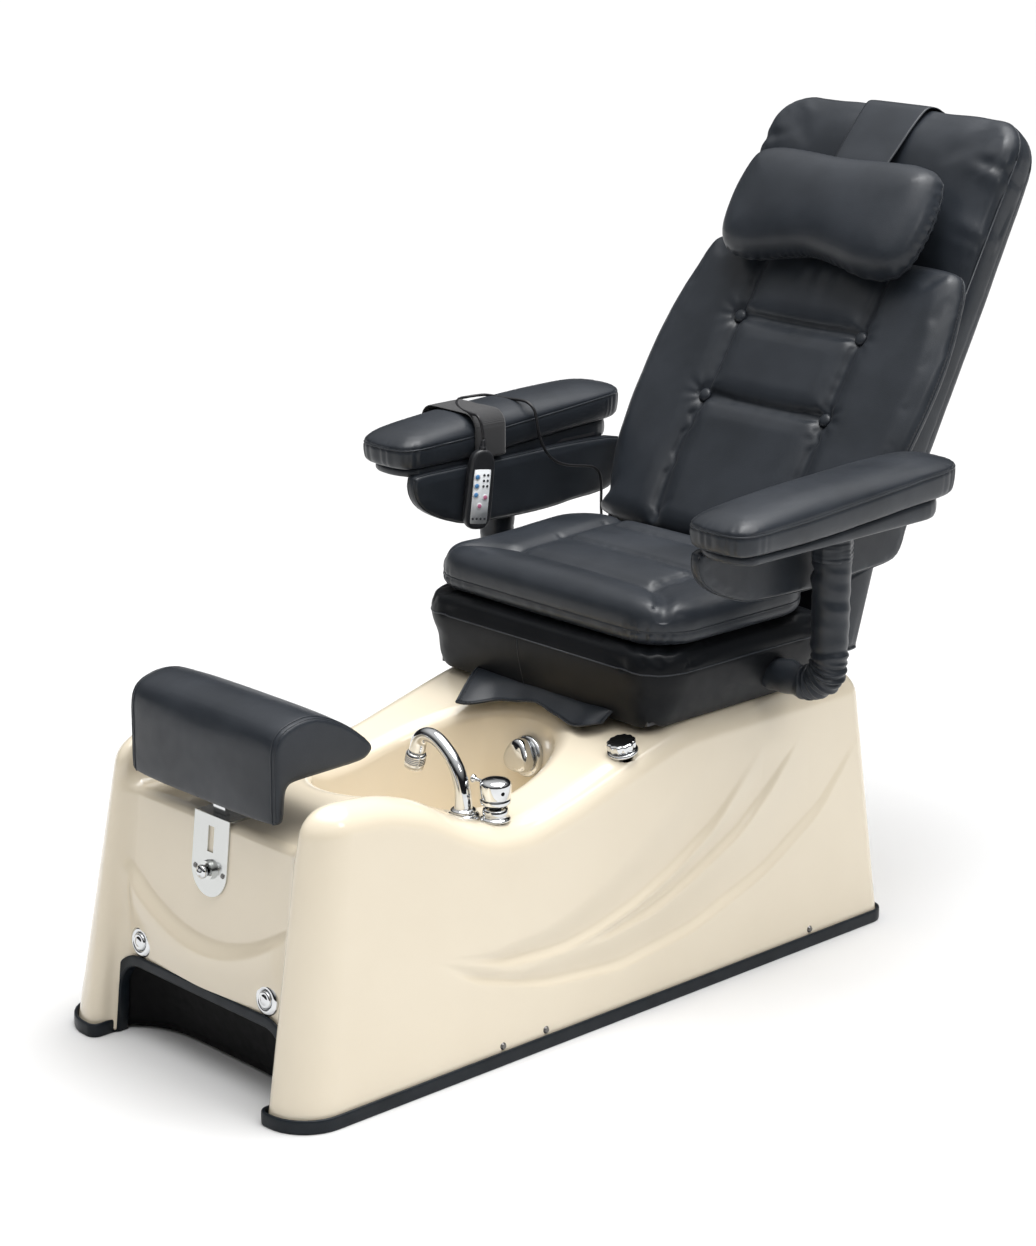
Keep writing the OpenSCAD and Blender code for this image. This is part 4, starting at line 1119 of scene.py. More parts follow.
def make_seat_cushion():
    def field(x, y, z):
        crown = 0.006 * np.cos(np.clip(x / 0.29, -1, 1) * math.pi / 2) + 0.006 * smooth((0.22 - y) / 0.1)
        crown = crown + 0.008 * smooth((y - 0.22) / 0.2)
        thick = np.where(z > SEAT_SEAM_Z, 0.041 + crown, 0.027)
        return puff(seat_plan(x, y), z - SEAT_SEAM_Z, 0.048, thick, 2.8)

    piece = skin("seat_pad", field, (-0.285, 0.105, 0.566), (0.285, 0.488, 0.665), 0.007)
    p = coords(piece)
    plan = [np.column_stack([c, np.full(len(c), 0.65)]) for c in seat_channels()]
    dips = np.zeros(len(p))
    held = np.zeros(len(p))
    top = p[:, 2] > 0.62
    flat = p * (1, 1, 0) + (0, 0, 0.65)
    for i, path in enumerate(plan):
        distance, _ = line_distance(flat, path)
        depth = 0.006 if i in (1, 2) else 0.010
        dips = np.maximum(dips, depth * np.exp(-(distance / 0.012) ** 2) * top)
        held = np.maximum(held, (distance < 0.0055) * top * 0.9)
    for s in (-1, 1):
        away = np.hypot(p[:, 0] - s * TUFT_X, p[:, 1] - TUFT_Y)
        dips += 0.006 * np.exp(-(away / 0.014) ** 2) * top
    set_coords(piece, p - dips[:, None] * (0, 0, 1))
    edge = np.abs(p[:, 2] - SEAT_SEAM_Z) < 0.0045
    held = np.maximum(held, edge & (seat_plan(p[:, 0], p[:, 1]) > -0.01))
    held = np.maximum(held, (p[:, 2] < 0.574))
    inflate(piece, 4.0, 0.007, held)
    refine(piece)

    def gathers(x, y, z):
        """Fine folds under the border seam, strongest round the front corners."""
        angle = np.arctan2(y - 0.20, np.abs(x) - 0.18)
        corner = np.exp(-((angle + 0.9) / 0.45) ** 2) * (y < 0.24)
        below = smooth((SEAT_SEAM_Z - z) / 0.004) * smooth((z - 0.574) / 0.02)
        above = smooth((z - SEAT_SEAM_Z) / 0.004) * smooth((SEAT_SEAM_Z + 0.022 - z) / 0.02)
        run = angle * 34 + 0.8 * np.sin(angle * 21) + 0.6 * np.sin(x * 90)
        front = np.exp(-((y - 0.115) / 0.03) ** 2)
        return (np.sin(run) * corner * (0.0024 * below + 0.0011 * above)
                + np.sin(x * 150 + 2 * np.sin(x * 31)) * front * below * 0.0006)

    wrinkle(piece, gathers)
    border = looped([(x, y, SEAT_SEAM_Z) for x, y in seat_border()])
    groove(piece, [border], 0.0016, 0.0032)
    drop = [onto(piece, [(x, y, 0.66) for x, y in path]) for path in seat_channels()]
    groove(piece, drop, 0.0024, 0.0042, 0.0003)
    padding(piece, "seat", "seat_cushion")
    seam("seat_border_piping", piece, border, "seat", 0.0013)


def seat_border(grow=0.0):
    """Outline of the cushion at its border seam."""
    half_x, y0, y1, r = 0.280 + grow, 0.1105 - grow, 0.4825 + grow, 0.085 + grow
    points = []
    for cx, cy, a0 in ((half_x - r, y0 + r, 270), (half_x - r, y1 - r, 0), (-half_x + r, y1 - r, 90),
                       (-half_x + r, y0 + r, 180)):
        points += arc_points(cx, cy, r, r, a0, a0 + 90, 14)
    return points


def make_seat_base():
    """Upholstered pan under the cushion: a thick roll above a seam, and a skirt that tapers below it."""
    seam_z = 0.536
    inset = line([(0.43, 0.031), (0.45, 0.030), (0.49, 0.017), (0.515, 0.006), (0.532, 0.002),
                  (0.60, 0.0)], 0.012)

    def field(x, y, z):
        corner = 0.045 + 0.030 * smooth((z - 0.45) / 0.06)
        corner = corner - (corner - 0.025) * smooth((y - 0.25) / 0.1)
        taper = inset(z)
        plan = rounded_box(x, y - 0.295, 0.288 - taper, 0.203 - 0.55 * taper, corner)
        body = puff(plan, z - 0.5045, 0.016, 0.0635, 4.0)
        room = both(np.abs(x) - 0.2445, z - 0.486, 0.01)
        return np.maximum(body, -np.maximum(room, 0.126 - y))

    piece = skin("seat_pan", field, (-0.294, 0.090, 0.439), (0.294, 0.50, 0.57), 0.006)
    p = coords(piece)
    inner = (np.abs(p[:, 0]) < 0.250) & (p[:, 2] < 0.492) & (p[:, 1] > 0.12)
    held = 1.0 * (inner | (np.abs(p[:, 2] - seam_z) < 0.004) | (p[:, 2] < 0.448))
    inflate(piece, 3.0, 0.005, held)
    refine(piece)
    ring = looped([(x, y, seam_z) for x, y in seat_border(0.009)])
    front = np.array([(-0.03, 0.088, z) for z in np.linspace(seam_z, 0.450, 8)])
    groove(piece, [ring, front], 0.0017, 0.0035)
    # The pan gets the darker copy of the leather, which paints the shade under the seat
    padding(piece, "seat", "seat_base", PAN_PAINTED_SHADE)
    seam("pan_piping", piece, ring, "seat", 0.0012)
    seam("pan_join", piece, front, "seat", 0.0007)


OVERLAY_HALF = line([(0.0, 0.215), (0.02, 0.238), (0.06, 0.268), (0.134, 0.297), (0.20, 0.309), (0.25, 0.314),
                     (0.35, 0.317), (0.41, 0.313), (0.46, 0.305), (0.52, 0.291), (0.60, 0.268)], 0.04)
CHANNEL_X = 0.138
BUTTON_U = (0.263, 0.416)


def make_back_cushion():
    outline = []
    for u in np.linspace(0.012, 0.50, 12):
        outline.append((float(OVERLAY_HALF(u)), u))
    outline += [(0.288, 0.530), (0.274, 0.556), (0.240, 0.565), (0.12, 0.567)]
    full = outline + [(-x, u) for x, u in outline[::-1]]
    outline = closed_curve(full, 3)

    def field(x, n, u):
        crown = 0.006 * np.cos(np.clip(x / 0.33, -1, 1) * math.pi / 2)
        thick = np.where(n < 0.018, 0.030 + crown, 0.014)
        return puff(outline_distance(outline, x, u), n - 0.018, 0.038, thick, 2.4)

    piece = skin("back_pad", field, (-0.33, -0.02, 0.0), (0.33, 0.034, 0.575), 0.007)
    p = coords(piece)
    front = p[:, 1] < 0.012
    flat = p * (1, 0, 1)
    dips = np.zeros(len(p))
    held = np.zeros(len(p))
    for path in back_channels():
        distance, _ = line_distance(flat, path * (1, 0, 1))
        dips = np.maximum(dips, 0.011 * np.exp(-(distance / 0.011) ** 2) * front)
        held = np.maximum(held, (distance < 0.0052) * front * 0.9)
    for s in (-1, 1):
        for u in BUTTON_U:
            away = np.hypot(p[:, 0] - s * CHANNEL_X, p[:, 2] - u)
            dips += 0.008 * np.exp(-(away / 0.016) ** 2) * front
    held = np.maximum(held, p[:, 1] > 0.022)
    set_coords(piece, p + dips[:, None] * (0, 1, 0))
    inflate(piece, 4.0, 0.0025, held)
    refine(piece)

    def tufting(x, n, u):
        """Pull lines that fan out of each button, and soft folds below the top edge."""
        total = np.zeros_like(x)
        for s in (-1, 1):
            for b in BUTTON_U:
                dx, du = x - s * CHANNEL_X, u - b
                away = np.hypot(dx, du)
                fan = np.sin(9 * np.arctan2(du, dx))
                total += 0.0006 * fan * np.exp(-((away - 0.026) / 0.016) ** 2)
        folds = np.sin(x * 120 + 1.5 * np.sin(x * 37)) * np.exp(-((u - 0.515) / 0.03) ** 2)
        return (total + 0.0010 * folds * (np.abs(x) < 0.14)) * (n < 0.01)

    wrinkle(piece, tufting)
    paths = [onto(piece, path) for path in back_channels()]
    groove(piece, paths, 0.0028, 0.0045, 0.0003)
    edge = np.array([(x, 0.016, u) for x, u in outline])
    edge = looped(edge)
    groove(piece, [edge], 0.0012, 0.003)
    laid = onto(piece, edge, 0.0002)
    piping = tube("back_pad_piping", laid, 0.0012, 8)
    rows = stitches("back_pad_stitching", onto(piece, edge - (0, 0.006, 0), 0.0002), (0, -1, 0))
    for extra in (piping, rows):
        in_back(extra)
    dress(piping, LEATHER, "back")
    dress(rows, THREAD, "back")
    in_back(piece)
    padding(piece, "back", "back_cushion")
    make_back_buttons()


def back_channels():
    """Sewn channels of the overlay, on its front face: two that run up it and two across."""
    paths = []
    for s in (-1, 1):
        paths.append([(s * (CHANNEL_X - 0.012), -0.02, 0.03), (s * (CHANNEL_X + 0.004), -0.02, 0.15),
                      (s * CHANNEL_X, -0.02, BUTTON_U[0]), (s * CHANNEL_X, -0.02, BUTTON_U[1]),
                      (s * CHANNEL_X, -0.02, 0.55)])
    for u in BUTTON_U:
        paths.append([(-CHANNEL_X, -0.02, u), (0, -0.02, u - 0.002), (CHANNEL_X, -0.02, u)])
    return [open_curve(p, 6) for p in paths]


def make_back_buttons():
    buttons = []
    for s in (-1, 1):
        for u in BUTTON_U:
            place = BACK @ Vector((s * CHANNEL_X, -0.001, u))
            axis = BACK.to_3x3() @ Vector((0, -1, 0))
            buttons.append(lathe("button", [(0.0005, 0), (0.0100, 0), (0.0118, 0.0022), (0.0122, 0.0040),
                                            (0.0112, 0.0066), (0.0085, 0.0086), (0.0045, 0.0096),
                                            (0.0005, 0.0098)], place, axis, 40))
    piece = joined("covered_buttons", buttons)
    dress(piece, LEATHER, "back")
    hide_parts("tuft_buttons")


def make_back_shell():
    half, foot, top, r = 0.274, 0.072, 0.851, 0.070
    front_n = line([(0.05, 0.038), (0.55, 0.032), (0.62, 0.010), (0.74, -0.008), (0.80, -0.010),
                    (0.86, 0.004)], 0.04)
    rear_n = line([(0.05, 0.118), (0.10, 0.140), (0.20, 0.143), (0.75, 0.088), (0.80, 0.078),
                   (0.86, 0.056)], 0.05)

    def field(x, n, u):
        plan = rounded_box(x, u - (foot + top) / 2, half, (top - foot) / 2, r)
        mid = (front_n(u) + rear_n(u)) / 2
        bulge = 0.006 * np.cos(np.clip(x / 0.28, -1, 1) * math.pi / 2)
        return puff(plan, n - mid, 0.030, (rear_n(u) - front_n(u)) / 2 + bulge, 2.8)

    piece = skin("back_rest", field, (-0.28, -0.02, 0.07), (0.28, 0.155, 0.855), 0.008)
    p = coords(piece)
    rim = np.abs(rounded_box(p[:, 0], p[:, 2] - (foot + top) / 2, half, (top - foot) / 2, r)) < 0.006
    behind = (p[:, 2] < 0.55) & (p[:, 1] < 0.05)
    inflate(piece, 3.0, 0.003, 1.0 * (rim | behind))
    refine(piece)

    def folds(x, n, u):
        """Gathers where the leather turns over the upper edges of the front."""
        side = smooth((np.abs(x) - 0.19) / 0.05) * smooth((u - 0.60) / 0.06) * smooth((0.80 - u) / 0.06)
        run = u * 105 + 2.0 * np.sin(u * 41) + np.abs(x) * 30
        crown = smooth((u - 0.77) / 0.03) * smooth((0.25 - np.abs(x)) / 0.05)
        over = 0.0008 * np.sin(x * 95 + 2 * np.sin(x * 23)) * crown
        return (0.0018 * np.sin(run) * side + over) * (n < 0.06)

    wrinkle(piece, folds)
    ring = []
    for cx, cu, a0 in ((half - r, top - r, 0), (-half + r, top - r, 90), (-half + r, foot + r, 180),
                       (half - r, foot + r, 270)):
        for a in np.radians(np.linspace(a0, a0 + 90, 12)):
            ring.append((cx + r * math.cos(a), 0.0, cu + r * math.sin(a)))
    ring = looped(ring)
    rims = []
    for share in (0.30, 0.80):
        loop = ring.copy()
        loop[:, 1] = front_n(loop[:, 2]) * (1 - share) + rear_n(loop[:, 2]) * share
        rims.append(loop)
    groove(piece, rims, 0.0014, 0.0034)
    for i, loop in enumerate(rims):
        piping = in_back(tube("back_rest_piping_%d" % i, onto(piece, loop, 0.0003), 0.0014, 8))
        dress(piping, LEATHER, "back")
    in_back(piece)
    padding(piece, "back", "back_shell")


def make_pillow():
    side = [(0.10, 0.715), (0.165, 0.713), (0.202, 0.694), (0.216, 0.640), (0.216, 0.588), (0.206, 0.540),
            (0.178, 0.511), (0.125, 0.506), (0.060, 0.519)]
    outline = closed_curve([(0, 0.711)] + side + [(0, 0.528)] + [(-x, u) for x, u in side[::-1]], 4)

    def field(x, n, u):
        thick = np.where(n < -0.05, 0.046, 0.030)
        return puff(outline_distance(outline, x, u), n + 0.050, 0.070, thick, 2.25)

    piece = skin("head_pillow", field, (-0.22, -0.10, 0.50), (0.22, -0.008, 0.72), 0.006)
    p = coords(piece)
    seam_line = (np.abs(p[:, 1] + 0.044) < 0.004) & (outline_distance(outline, p[:, 0], p[:, 2]) > -0.012)
    inflate(piece, 4.0, 0.004, 1.0 * seam_line)
    refine(piece)
    edge = np.array([(x, -0.044, u) for x, u in outline])
    edge = looped(edge)

    def puckers(x, n, u):
        """Small gathers along the seam round the rim."""
        angle = np.arctan2(u - 0.61, x)
        rim = np.exp(-((n + 0.044) / 0.016) ** 2)
        rim = rim * smooth((outline_distance(outline, x, u) + 0.02) / 0.01)
        return 0.0011 * np.sin(angle * 62 + 3 * np.sin(angle * 5)) * rim

    wrinkle(piece, puckers)
    groove(piece, [edge], 0.0016, 0.003)
    piping = in_back(tube("pillow_piping", onto(piece, edge, 0.0002), 0.0012, 8))
    dress(piping, LEATHER, "pillow")
    in_back(piece)
    padding(piece, "pillow", "pillow")


def away_from_back(path):
    """Outward direction at each point of a strap that runs over the back."""
    out = np.array([np.cross(h, (1, 0, 0)) for h in np.gradient(path, axis=0)])
    return out / np.linalg.norm(out, axis=1, keepdims=True)


def make_straps():
    """Band that hangs the pillow over the top of the back, and the weighted flap behind."""
    rise = open_curve([(0, -0.038, 0.696), (0, -0.036, 0.722), (0, -0.031, 0.750), (0, -0.024, 0.790),
                       (0, -0.016, 0.825), (0, -0.008, 0.845), (0, 0.008, 0.8555), (0, 0.030, 0.8580)], 5)
    wide = np.linspace(0.116, 0.146, len(rise))
    path = back_points(rise)
    out = away_from_back(path)
    strap = band("pillow_band", path, (1, 0, 0), out, wide, 0.0032)
    dress(strap, LEATHER, "pillow")
    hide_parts("pillow_strap")
    for s in (-1, 1):
        offset = np.array([[s * (w / 2 - 0.005), 0, 0] for w in wide])
        row = stitches("band_stitching_%s" % ("left" if s < 0 else "right"), path + offset + out * 0.0034,
                       BACK.to_3x3() @ Vector((0, -1, 0)))
        dress(row, THREAD, "pillow")
    fall = open_curve([(0, 0.031, 0.8580), (0, 0.048, 0.8560), (0, 0.066, 0.8480), (0, 0.080, 0.8320),
                       (0, 0.089, 0.800), (0, 0.096, 0.762)], 5)
    path = back_points(fall)
    narrowing = np.linspace(0.146, 0.116, len(path))
    flap = band("rear_band", path, (1, 0, 0), away_from_back(path), narrowing, 0.0032)

    def field(x, n, u):
        plan = rounded_box(x, u - 0.694, 0.056, 0.068, 0.012)
        lean = 0.096 + (0.762 - u) * 0.085
        return puff(plan, n - lean - 0.0095, 0.010, 0.0095, 2.2)

    pouch = in_back(skin("weight_pouch", field, (-0.058, 0.09, 0.62), (0.058, 0.13, 0.77), 0.004))
    piece = joined("counterweight_flap", [flap, pouch])
    dress(piece, LEATHER, "back")
    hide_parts("strap_counterweight")


ARM_SEAM = line([(0.10, 0.791), (0.25, 0.795), (0.40, 0.805), (0.55, 0.816), (0.66, 0.822)], 0.06)
ARM_TOP = line([(0.10, 0.802), (0.13, 0.811), (0.18, 0.8185), (0.28, 0.827), (0.48, 0.8335), (0.58, 0.8335),
                (0.66, 0.824)], 0.05)


def pad_foot(y):
    """Underside of the pad, which rises towards the rear."""
    return 0.757 + 0.018 * smooth((y - 0.22) / 0.40)


def pad_outline():
    return closed_curve([(0.317, 0.190), (0.319, 0.138), (0.336, 0.113), (0.383, 0.1065), (0.430, 0.113),
                            (0.447, 0.138), (0.4495, 0.190), (0.4495, 0.330), (0.4495, 0.500), (0.446, 0.590),
                            (0.425, 0.629), (0.385, 0.640), (0.345, 0.630), (0.322, 0.595), (0.317, 0.500),
                            (0.317, 0.330)], 4)


def make_arms():
    """Right arm's pad, board and panel, then their mirror images for the left arm."""
    outline = pad_outline()

    def field(x, y, z):
        plan = outline_distance(outline, x, y)
        split = ARM_SEAM(y)
        crown = 0.003 * np.cos(np.clip((x - 0.383) / 0.07, -1, 1) * math.pi / 2)
        up = puff(plan, np.maximum(z - split, 0), 0.048, ARM_TOP(y) - split + crown, 2.1)
        down = puff(plan, np.minimum(z - split, 0), 0.014, split - pad_foot(y), 3.0)
        return np.where(z > split, up, down)

    pad = skin("arm_pad_r", field, (0.316, 0.105, 0.754), (0.451, 0.641, 0.84), 0.006)
    p = coords(pad)
    held = 1.0 * ((np.abs(p[:, 2] - ARM_SEAM(p[:, 1])) < 0.0035) | (p[:, 2] < pad_foot(p[:, 1]) + 0.003))
    inflate(pad, 3.5, 0.003, held)
    refine(pad)
    edge = np.array([(x, y, float(ARM_SEAM(y))) for x, y in outline])
    edge = looped(edge)

    def puckers(x, y, z):
        """Gathers under and over the seam round the nose and the heel of the pad."""
        ends = np.maximum(smooth((0.19 - y) / 0.06), smooth((y - 0.56) / 0.05))
        under = smooth((ARM_SEAM(y) - z) / 0.003) * smooth((z - pad_foot(y)) / 0.01)
        over = smooth((z - ARM_SEAM(y)) / 0.003) * smooth((ARM_SEAM(y) + 0.018 - z) / 0.015)
        angle = np.arctan2(y - np.where(y < 0.38, 0.20, 0.57), x - 0.383)
        return np.sin(angle * 30 + 1.4 * np.sin(angle * 11)) * ends * (0.0008 * under + 0.0004 * over)

    wrinkle(pad, puckers)
    groove(pad, [edge], 0.0015, 0.003)
    piping = tube("arm_piping_r", onto(pad, edge, 0.0003), 0.0014, 8)

    board_line = closed_curve([(0.328, 0.19), (0.333, 0.140), (0.383, 0.123), (0.432, 0.140),
                               (0.438, 0.200), (0.438, 0.480), (0.432, 0.575), (0.383, 0.612),
                               (0.336, 0.585), (0.330, 0.480)], 4)

    def board_field(x, y, z):
        mid = (pad_foot(y) + 0.7410) / 2
        return puff(outline_distance(board_line, x, y), z - mid, 0.0065, mid - 0.7412, 2.4)

    board = skin("arm_board_r", board_field, (0.326, 0.12, 0.740), (0.440, 0.613, 0.777), 0.0035)
    panel_line = closed_curve([(0.129, 0.738), (0.128, 0.722), (0.135, 0.703), (0.150, 0.686),
                               (0.177, 0.669), (0.217, 0.652), (0.257, 0.643), (0.350, 0.638),
                               (0.440, 0.638), (0.500, 0.643), (0.560, 0.646), (0.598, 0.657),
                               (0.616, 0.692), (0.619, 0.738), (0.500, 0.7485), (0.360, 0.7485),
                               (0.220, 0.7485), (0.140, 0.7475)], 3)

    def panel_field(x, y, z):
        return puff(outline_distance(panel_line, y, z), x - 0.330, 0.009, 0.0122, 2.6)

    panel = skin("arm_side_r", panel_field, (0.316, 0.126, 0.636), (0.344, 0.622, 0.75), 0.004)
    p = coords(panel)
    inflate(panel, 3.0, 0.0015, 1.0 * (p[:, 2] > 0.740))
    refine(panel)
    loops = []
    for x in (0.3215, 0.3385):
        loops.append(looped([(x, y, z) for y, z in panel_line]))
    groove(panel, loops, 0.0012, 0.003)
    welts = [tube("panel_welt", onto(panel, loop, 0.0003), 0.0013, 8) for loop in loops]
    welt = joined("arm_side_piping_r", welts)
    dome = [(0.0005, -0.0085), (0.0065, -0.0080), (0.0105, -0.0055), (0.0125, -0.0020), (0.0130, 0.0),
            (0.0005, 0.0)]
    bolts = [lathe("bolt", dome, (0.408, y, 0.7425), (0, 0, 1), 36) for y in (0.21, 0.31)]
    bolt = joined("arm_bolts_r", bolts)
    pieces = {"arm_pad": pad, "arm_piping": piping, "arm_board": board, "arm_side": panel,
              "arm_side_piping": welt, "arm_bolts": bolt}
    for body, suffix in (("arm_left", "l"), ("arm_right", "r")):
        side = body[4:]
        for name, obj in pieces.items():
            piece = obj if suffix == "r" else mirrored(obj, name + "_l")
            material = CASE if name == "arm_bolts" else LEATHER
            dress(piece, material, body)
            if name == "arm_pad":
                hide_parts("arm_pad_" + side)
            if name == "arm_side":
                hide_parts("arm_panel_" + side)


def make_sleeves():
    """Ruched leather sleeves over the arm posts, and the gathered cuffs round the arms' hinges."""
    bend = 0.050
    low, top = 0.487, 0.706
    path = [(0.256, 0.38, low), (0.29, 0.38, low)]
    for a in np.radians(np.linspace(270, 360, 9)):
        path.append((0.338 + bend * math.cos(a), 0.38, low + bend + bend * math.sin(a)))
    path += [(0.388, 0.38, z) for z in (0.56, 0.60, 0.64, 0.68, top)]
    path = open_curve(path, 14)
    noise = np.random.default_rng(4)
    phases = noise.uniform(0, 2 * math.pi, 12)
    pitches = noise.uniform(16, 70, 12)
    slants = noise.uniform(-3.2, 3.2, 12)
    size = line([(0, 0.0265), (0.35, 0.0275), (0.5, 0.0300), (0.62, 0.0285), (0.8, 0.0300), (1, 0.0312)], 0.1)

    def folds(share, angle):
        total = 0.0
        for p, k, s in zip(phases, pitches, slants):
            total += math.sin(k * share * 2.0 + s * math.sin(angle + p) + p)
        return math.copysign(abs(total / 6) ** 1.3, total)

    def radius(share, angle):
        gather = 1.0 if share < 0.6 else 0.6
        return float(size(share)) + 0.0044 * gather * folds(share, angle) - 0.0010 * math.cos(2 * angle)

    right = tube("sleeve_right", path, radius, 56)
    left = mirrored(right, "sleeve_left")
    for piece in (right, left):
        dress(piece, LEATHER, "seat")
    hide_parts("arm_sleeves")

    def cuff_radius(share, angle):
        return 0.0322 + 0.0013 * folds(0.3 * share, angle) + 0.0009 * math.cos(9 * angle + 2)

    rise = [(0.388, 0.38, z) for z in np.linspace(0.7005, 0.7405, 24)]
    cuff = tube("cuff_right", rise, cuff_radius, 56)
    other = mirrored(cuff, "cuff_left")
    dress(cuff, LEATHER, "arm_right")
    dress(other, LEATHER, "arm_left")


def make_flap():
    """Splash flap: a leather sheet that hangs from the pan's underside over the edge of the bath."""
    columns, rows = 49, 15
    hem = line([(-0.105, 0.028), (-0.083, 0.036), (-0.068, 0.070), (-0.020, 0.088), (0.027, 0.092),
                (0.091, 0.080), (0.150, 0.070), (0.168, 0.092)], 0.02)
    drop = line([(-0.105, 0.426), (-0.06, 0.433), (0.0, 0.437), (0.10, 0.432), (0.168, 0.441)], 0.03)
    points = []
    for j in range(rows):
        t = j / (rows - 1)
        for i in range(columns):
            s = i / (columns - 1)
            x0 = -0.150 + 0.330 * s
            x1 = -0.105 + 0.273 * s
            y = 0.128 * (1 - t) + float(hem(x1)) * t
            z = 0.4605 * (1 - t) + float(drop(x1)) * t + 0.010 * math.sin(math.pi * t) * (1 - 0.5 * t)
            z += 0.0035 * t * math.sin(x1 * 34 + 0.6) + 0.0012 * t * math.sin(x1 * 91)
            points.append((x0 * (1 - t) + x1 * t, y, z))
    sheet = make("splash_flap", points, sheet_faces(columns, rows, flipped=True))
    lift = [Vector(p) + Vector((0, 0, 0.0022)) for p in points]
    edge = [lift[j * columns] for j in range(2, rows)]
    edge += [lift[(rows - 1) * columns + i] for i in range(columns)]
    edge += [lift[j * columns + columns - 1] for j in range(rows - 1, 1, -1)]
    thickened(sheet, 0.0022)
    dress(sheet, LEATHER, "seat")
    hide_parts("front_flap")
    centre = np.array(edge).mean(0)
    inner = [np.array(p) + (centre - np.array(p)) * (0.007 / max(np.linalg.norm(centre - np.array(p)), 1e-6))
             for p in edge]
    hem_bead = tube("flap_hem", np.array(edge) - (0, 0, 0.0022), 0.0022, 8)
    row = stitches("flap_stitching", np.array(inner) - (0, 0, 0.0004), (0, 0, 1))
    dress(hem_bead, LEATHER, "seat")
    dress(row, THREAD, "seat")


def make_skirt():
    """Leather skirt between the foot of the back and the seat's rear."""
    side = [(0.268, 0.500), (0.271, 0.530), (0.271, 0.562), (0.264, 0.583), (0.240, 0.594), (0.12, 0.597)]
    corners = side + [(-x, y) for x, y in side[::-1]]
    run = open_curve(corners, 8)
    rows = 12
    columns = len(run)
    points = []
    for j in range(rows):
        t = j / (rows - 1)
        for i, (x, y) in enumerate(run):
            rear = smooth((y - 0.50) / 0.08)
            z = 0.488 + 0.006 * (1 - rear) + (0.108 + 0.030 * rear) * t
            wave = 0.0024 * math.sin(i * 0.9) * (1 - t) * float(rear)
            slope = 0.052 * t * float(rear)
            points.append((x * (1 - 0.02 * t), y + wave + slope, z))
    piece = thickened(make("back_skirt_leather", points, sheet_faces(columns, rows)), 0.002)
    dress(piece, LEATHER)
    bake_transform(piece)
    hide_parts("back_skirt")
    hem = [Vector(points[i]) - Vector((0, 0, 0.0005)) for i in range(columns)]
    bead = tube("skirt_hem", hem, 0.0026, 8)
    dress(bead, LEATHER, "seat")


# ---------- the hand control ----------

def make_remote():
    """Hand control: a rounded case with a pale keypad, on the band round the arm."""
    lean = Matrix.Translation((-0.298, 0.264, 0.779)) @ Matrix.Rotation(math.radians(-15), 4, "Z")
    lean = lean @ Matrix.Rotation(math.radians(-6), 4, "X")
    outline = closed_curve([(0, -0.001), (0.013, -0.005), (0.0215, -0.017), (0.0243, -0.040),
                            (0.0250, -0.070), (0.0255, -0.100), (0.0240, -0.124), (0.0150, -0.137),
                            (0, -0.1405), (-0.0150, -0.137), (-0.0240, -0.124), (-0.0255, -0.100),
                            (-0.0250, -0.070), (-0.0243, -0.040), (-0.0215, -0.017), (-0.013, -0.005)], 4)

    def field(x, y, z):
        return puff(outline_distance(outline, y, z), x, 0.006, 0.0080, 2.6)

    case = skin("remote_body", field, (-0.0085, -0.026, -0.142), (0.0085, 0.026, 0), 0.0022)
    groove(case, [looped([(0, y, z) for y, z in outline])], 0.0007, 0.0012)
    relief_r = [(0.0062, -0.004), (0.0060, 0.002)]
    for i in range(4):
        relief_r += [(0.0054 - i * 0.0004, 0.003 + i * 0.003), (0.0044 - i * 0.0003, 0.0045 + i * 0.003)]
    relief_r += [(0.0034, 0.0148), (0.0005, 0.015)]
    sleeve = lathe("remote_relief", relief_r, (0, 0, 0), (0, 0, 1), 28)
    body = joined("remote_shell", [case, sleeve])
    pad = keypad_plate()
    face = matte_plastic("keypad_face", (0.66, 0.68, 0.70), 0.4)
    groups = [(body, CASE, "remote_plastic"), (pad, face, "remote_plastic")]
    tones = {"blue": (0.10, 0.30, 0.62), "dark": (0.05, 0.055, 0.06), "pink": (0.62, 0.20, 0.34),
             "white": (0.75, 0.76, 0.78)}
    keys = {"blue": [], "dark": [], "pink": [], "white": []}
    for i in range(3):
        keys["white"].append(key(-0.0095, -0.048 - i * 0.0155, 0.0058))
        keys["blue"].append(key(-0.0095, -0.048 - i * 0.0155, 0.0042, 0.0016))
    for i in range(3):
        for j in range(2):
            keys["dark"].append(key(0.0035 + j * 0.0072, -0.045 - i * 0.0095, 0.0023))
    for i in range(4):
        keys["dark"].append(key(-0.0115 + i * 0.0075, -0.1205, 0.0022))
    keys["pink"].append(key(0.0085, -0.0835, 0.0040, 0.0014))
    keys["pink"].append(key(-0.001, -0.0985, 0.0040, 0.0014))
    keys["white"].append(key(0.0085, -0.0835, 0.0056))
    keys["white"].append(key(-0.001, -0.0985, 0.0056))
    for tone, made in keys.items():
        colour = matte_plastic("key_" + tone, tones[tone], 0.35)
        groups.append((joined("keys_" + tone, made), colour, "remote_plastic"))
    for obj, material, slot in groups:
        obj.data.transform(lean)
        obj.data.update()
        dress(obj, material, "remote")
    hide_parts("remote_case")


def keypad_plate():
    outline = closed_curve([(-0.0155, -0.038), (-0.0158, -0.060), (-0.0158, -0.100), (-0.0155, -0.126),
                            (-0.0125, -0.129), (0, -0.1295), (0.0125, -0.129), (0.0155, -0.126),
                            (0.0158, -0.100), (0.0158, -0.060), (0.0155, -0.038), (0.0125, -0.0355),
                            (0, -0.035), (-0.0125, -0.0355)], 3)
    top = [(0.0086, y, z) for y, z in outline]
    low = [(0.0070, y * 1.02, z) for y, z in outline]
    return ringed("keypad", low + top, 2, len(outline))


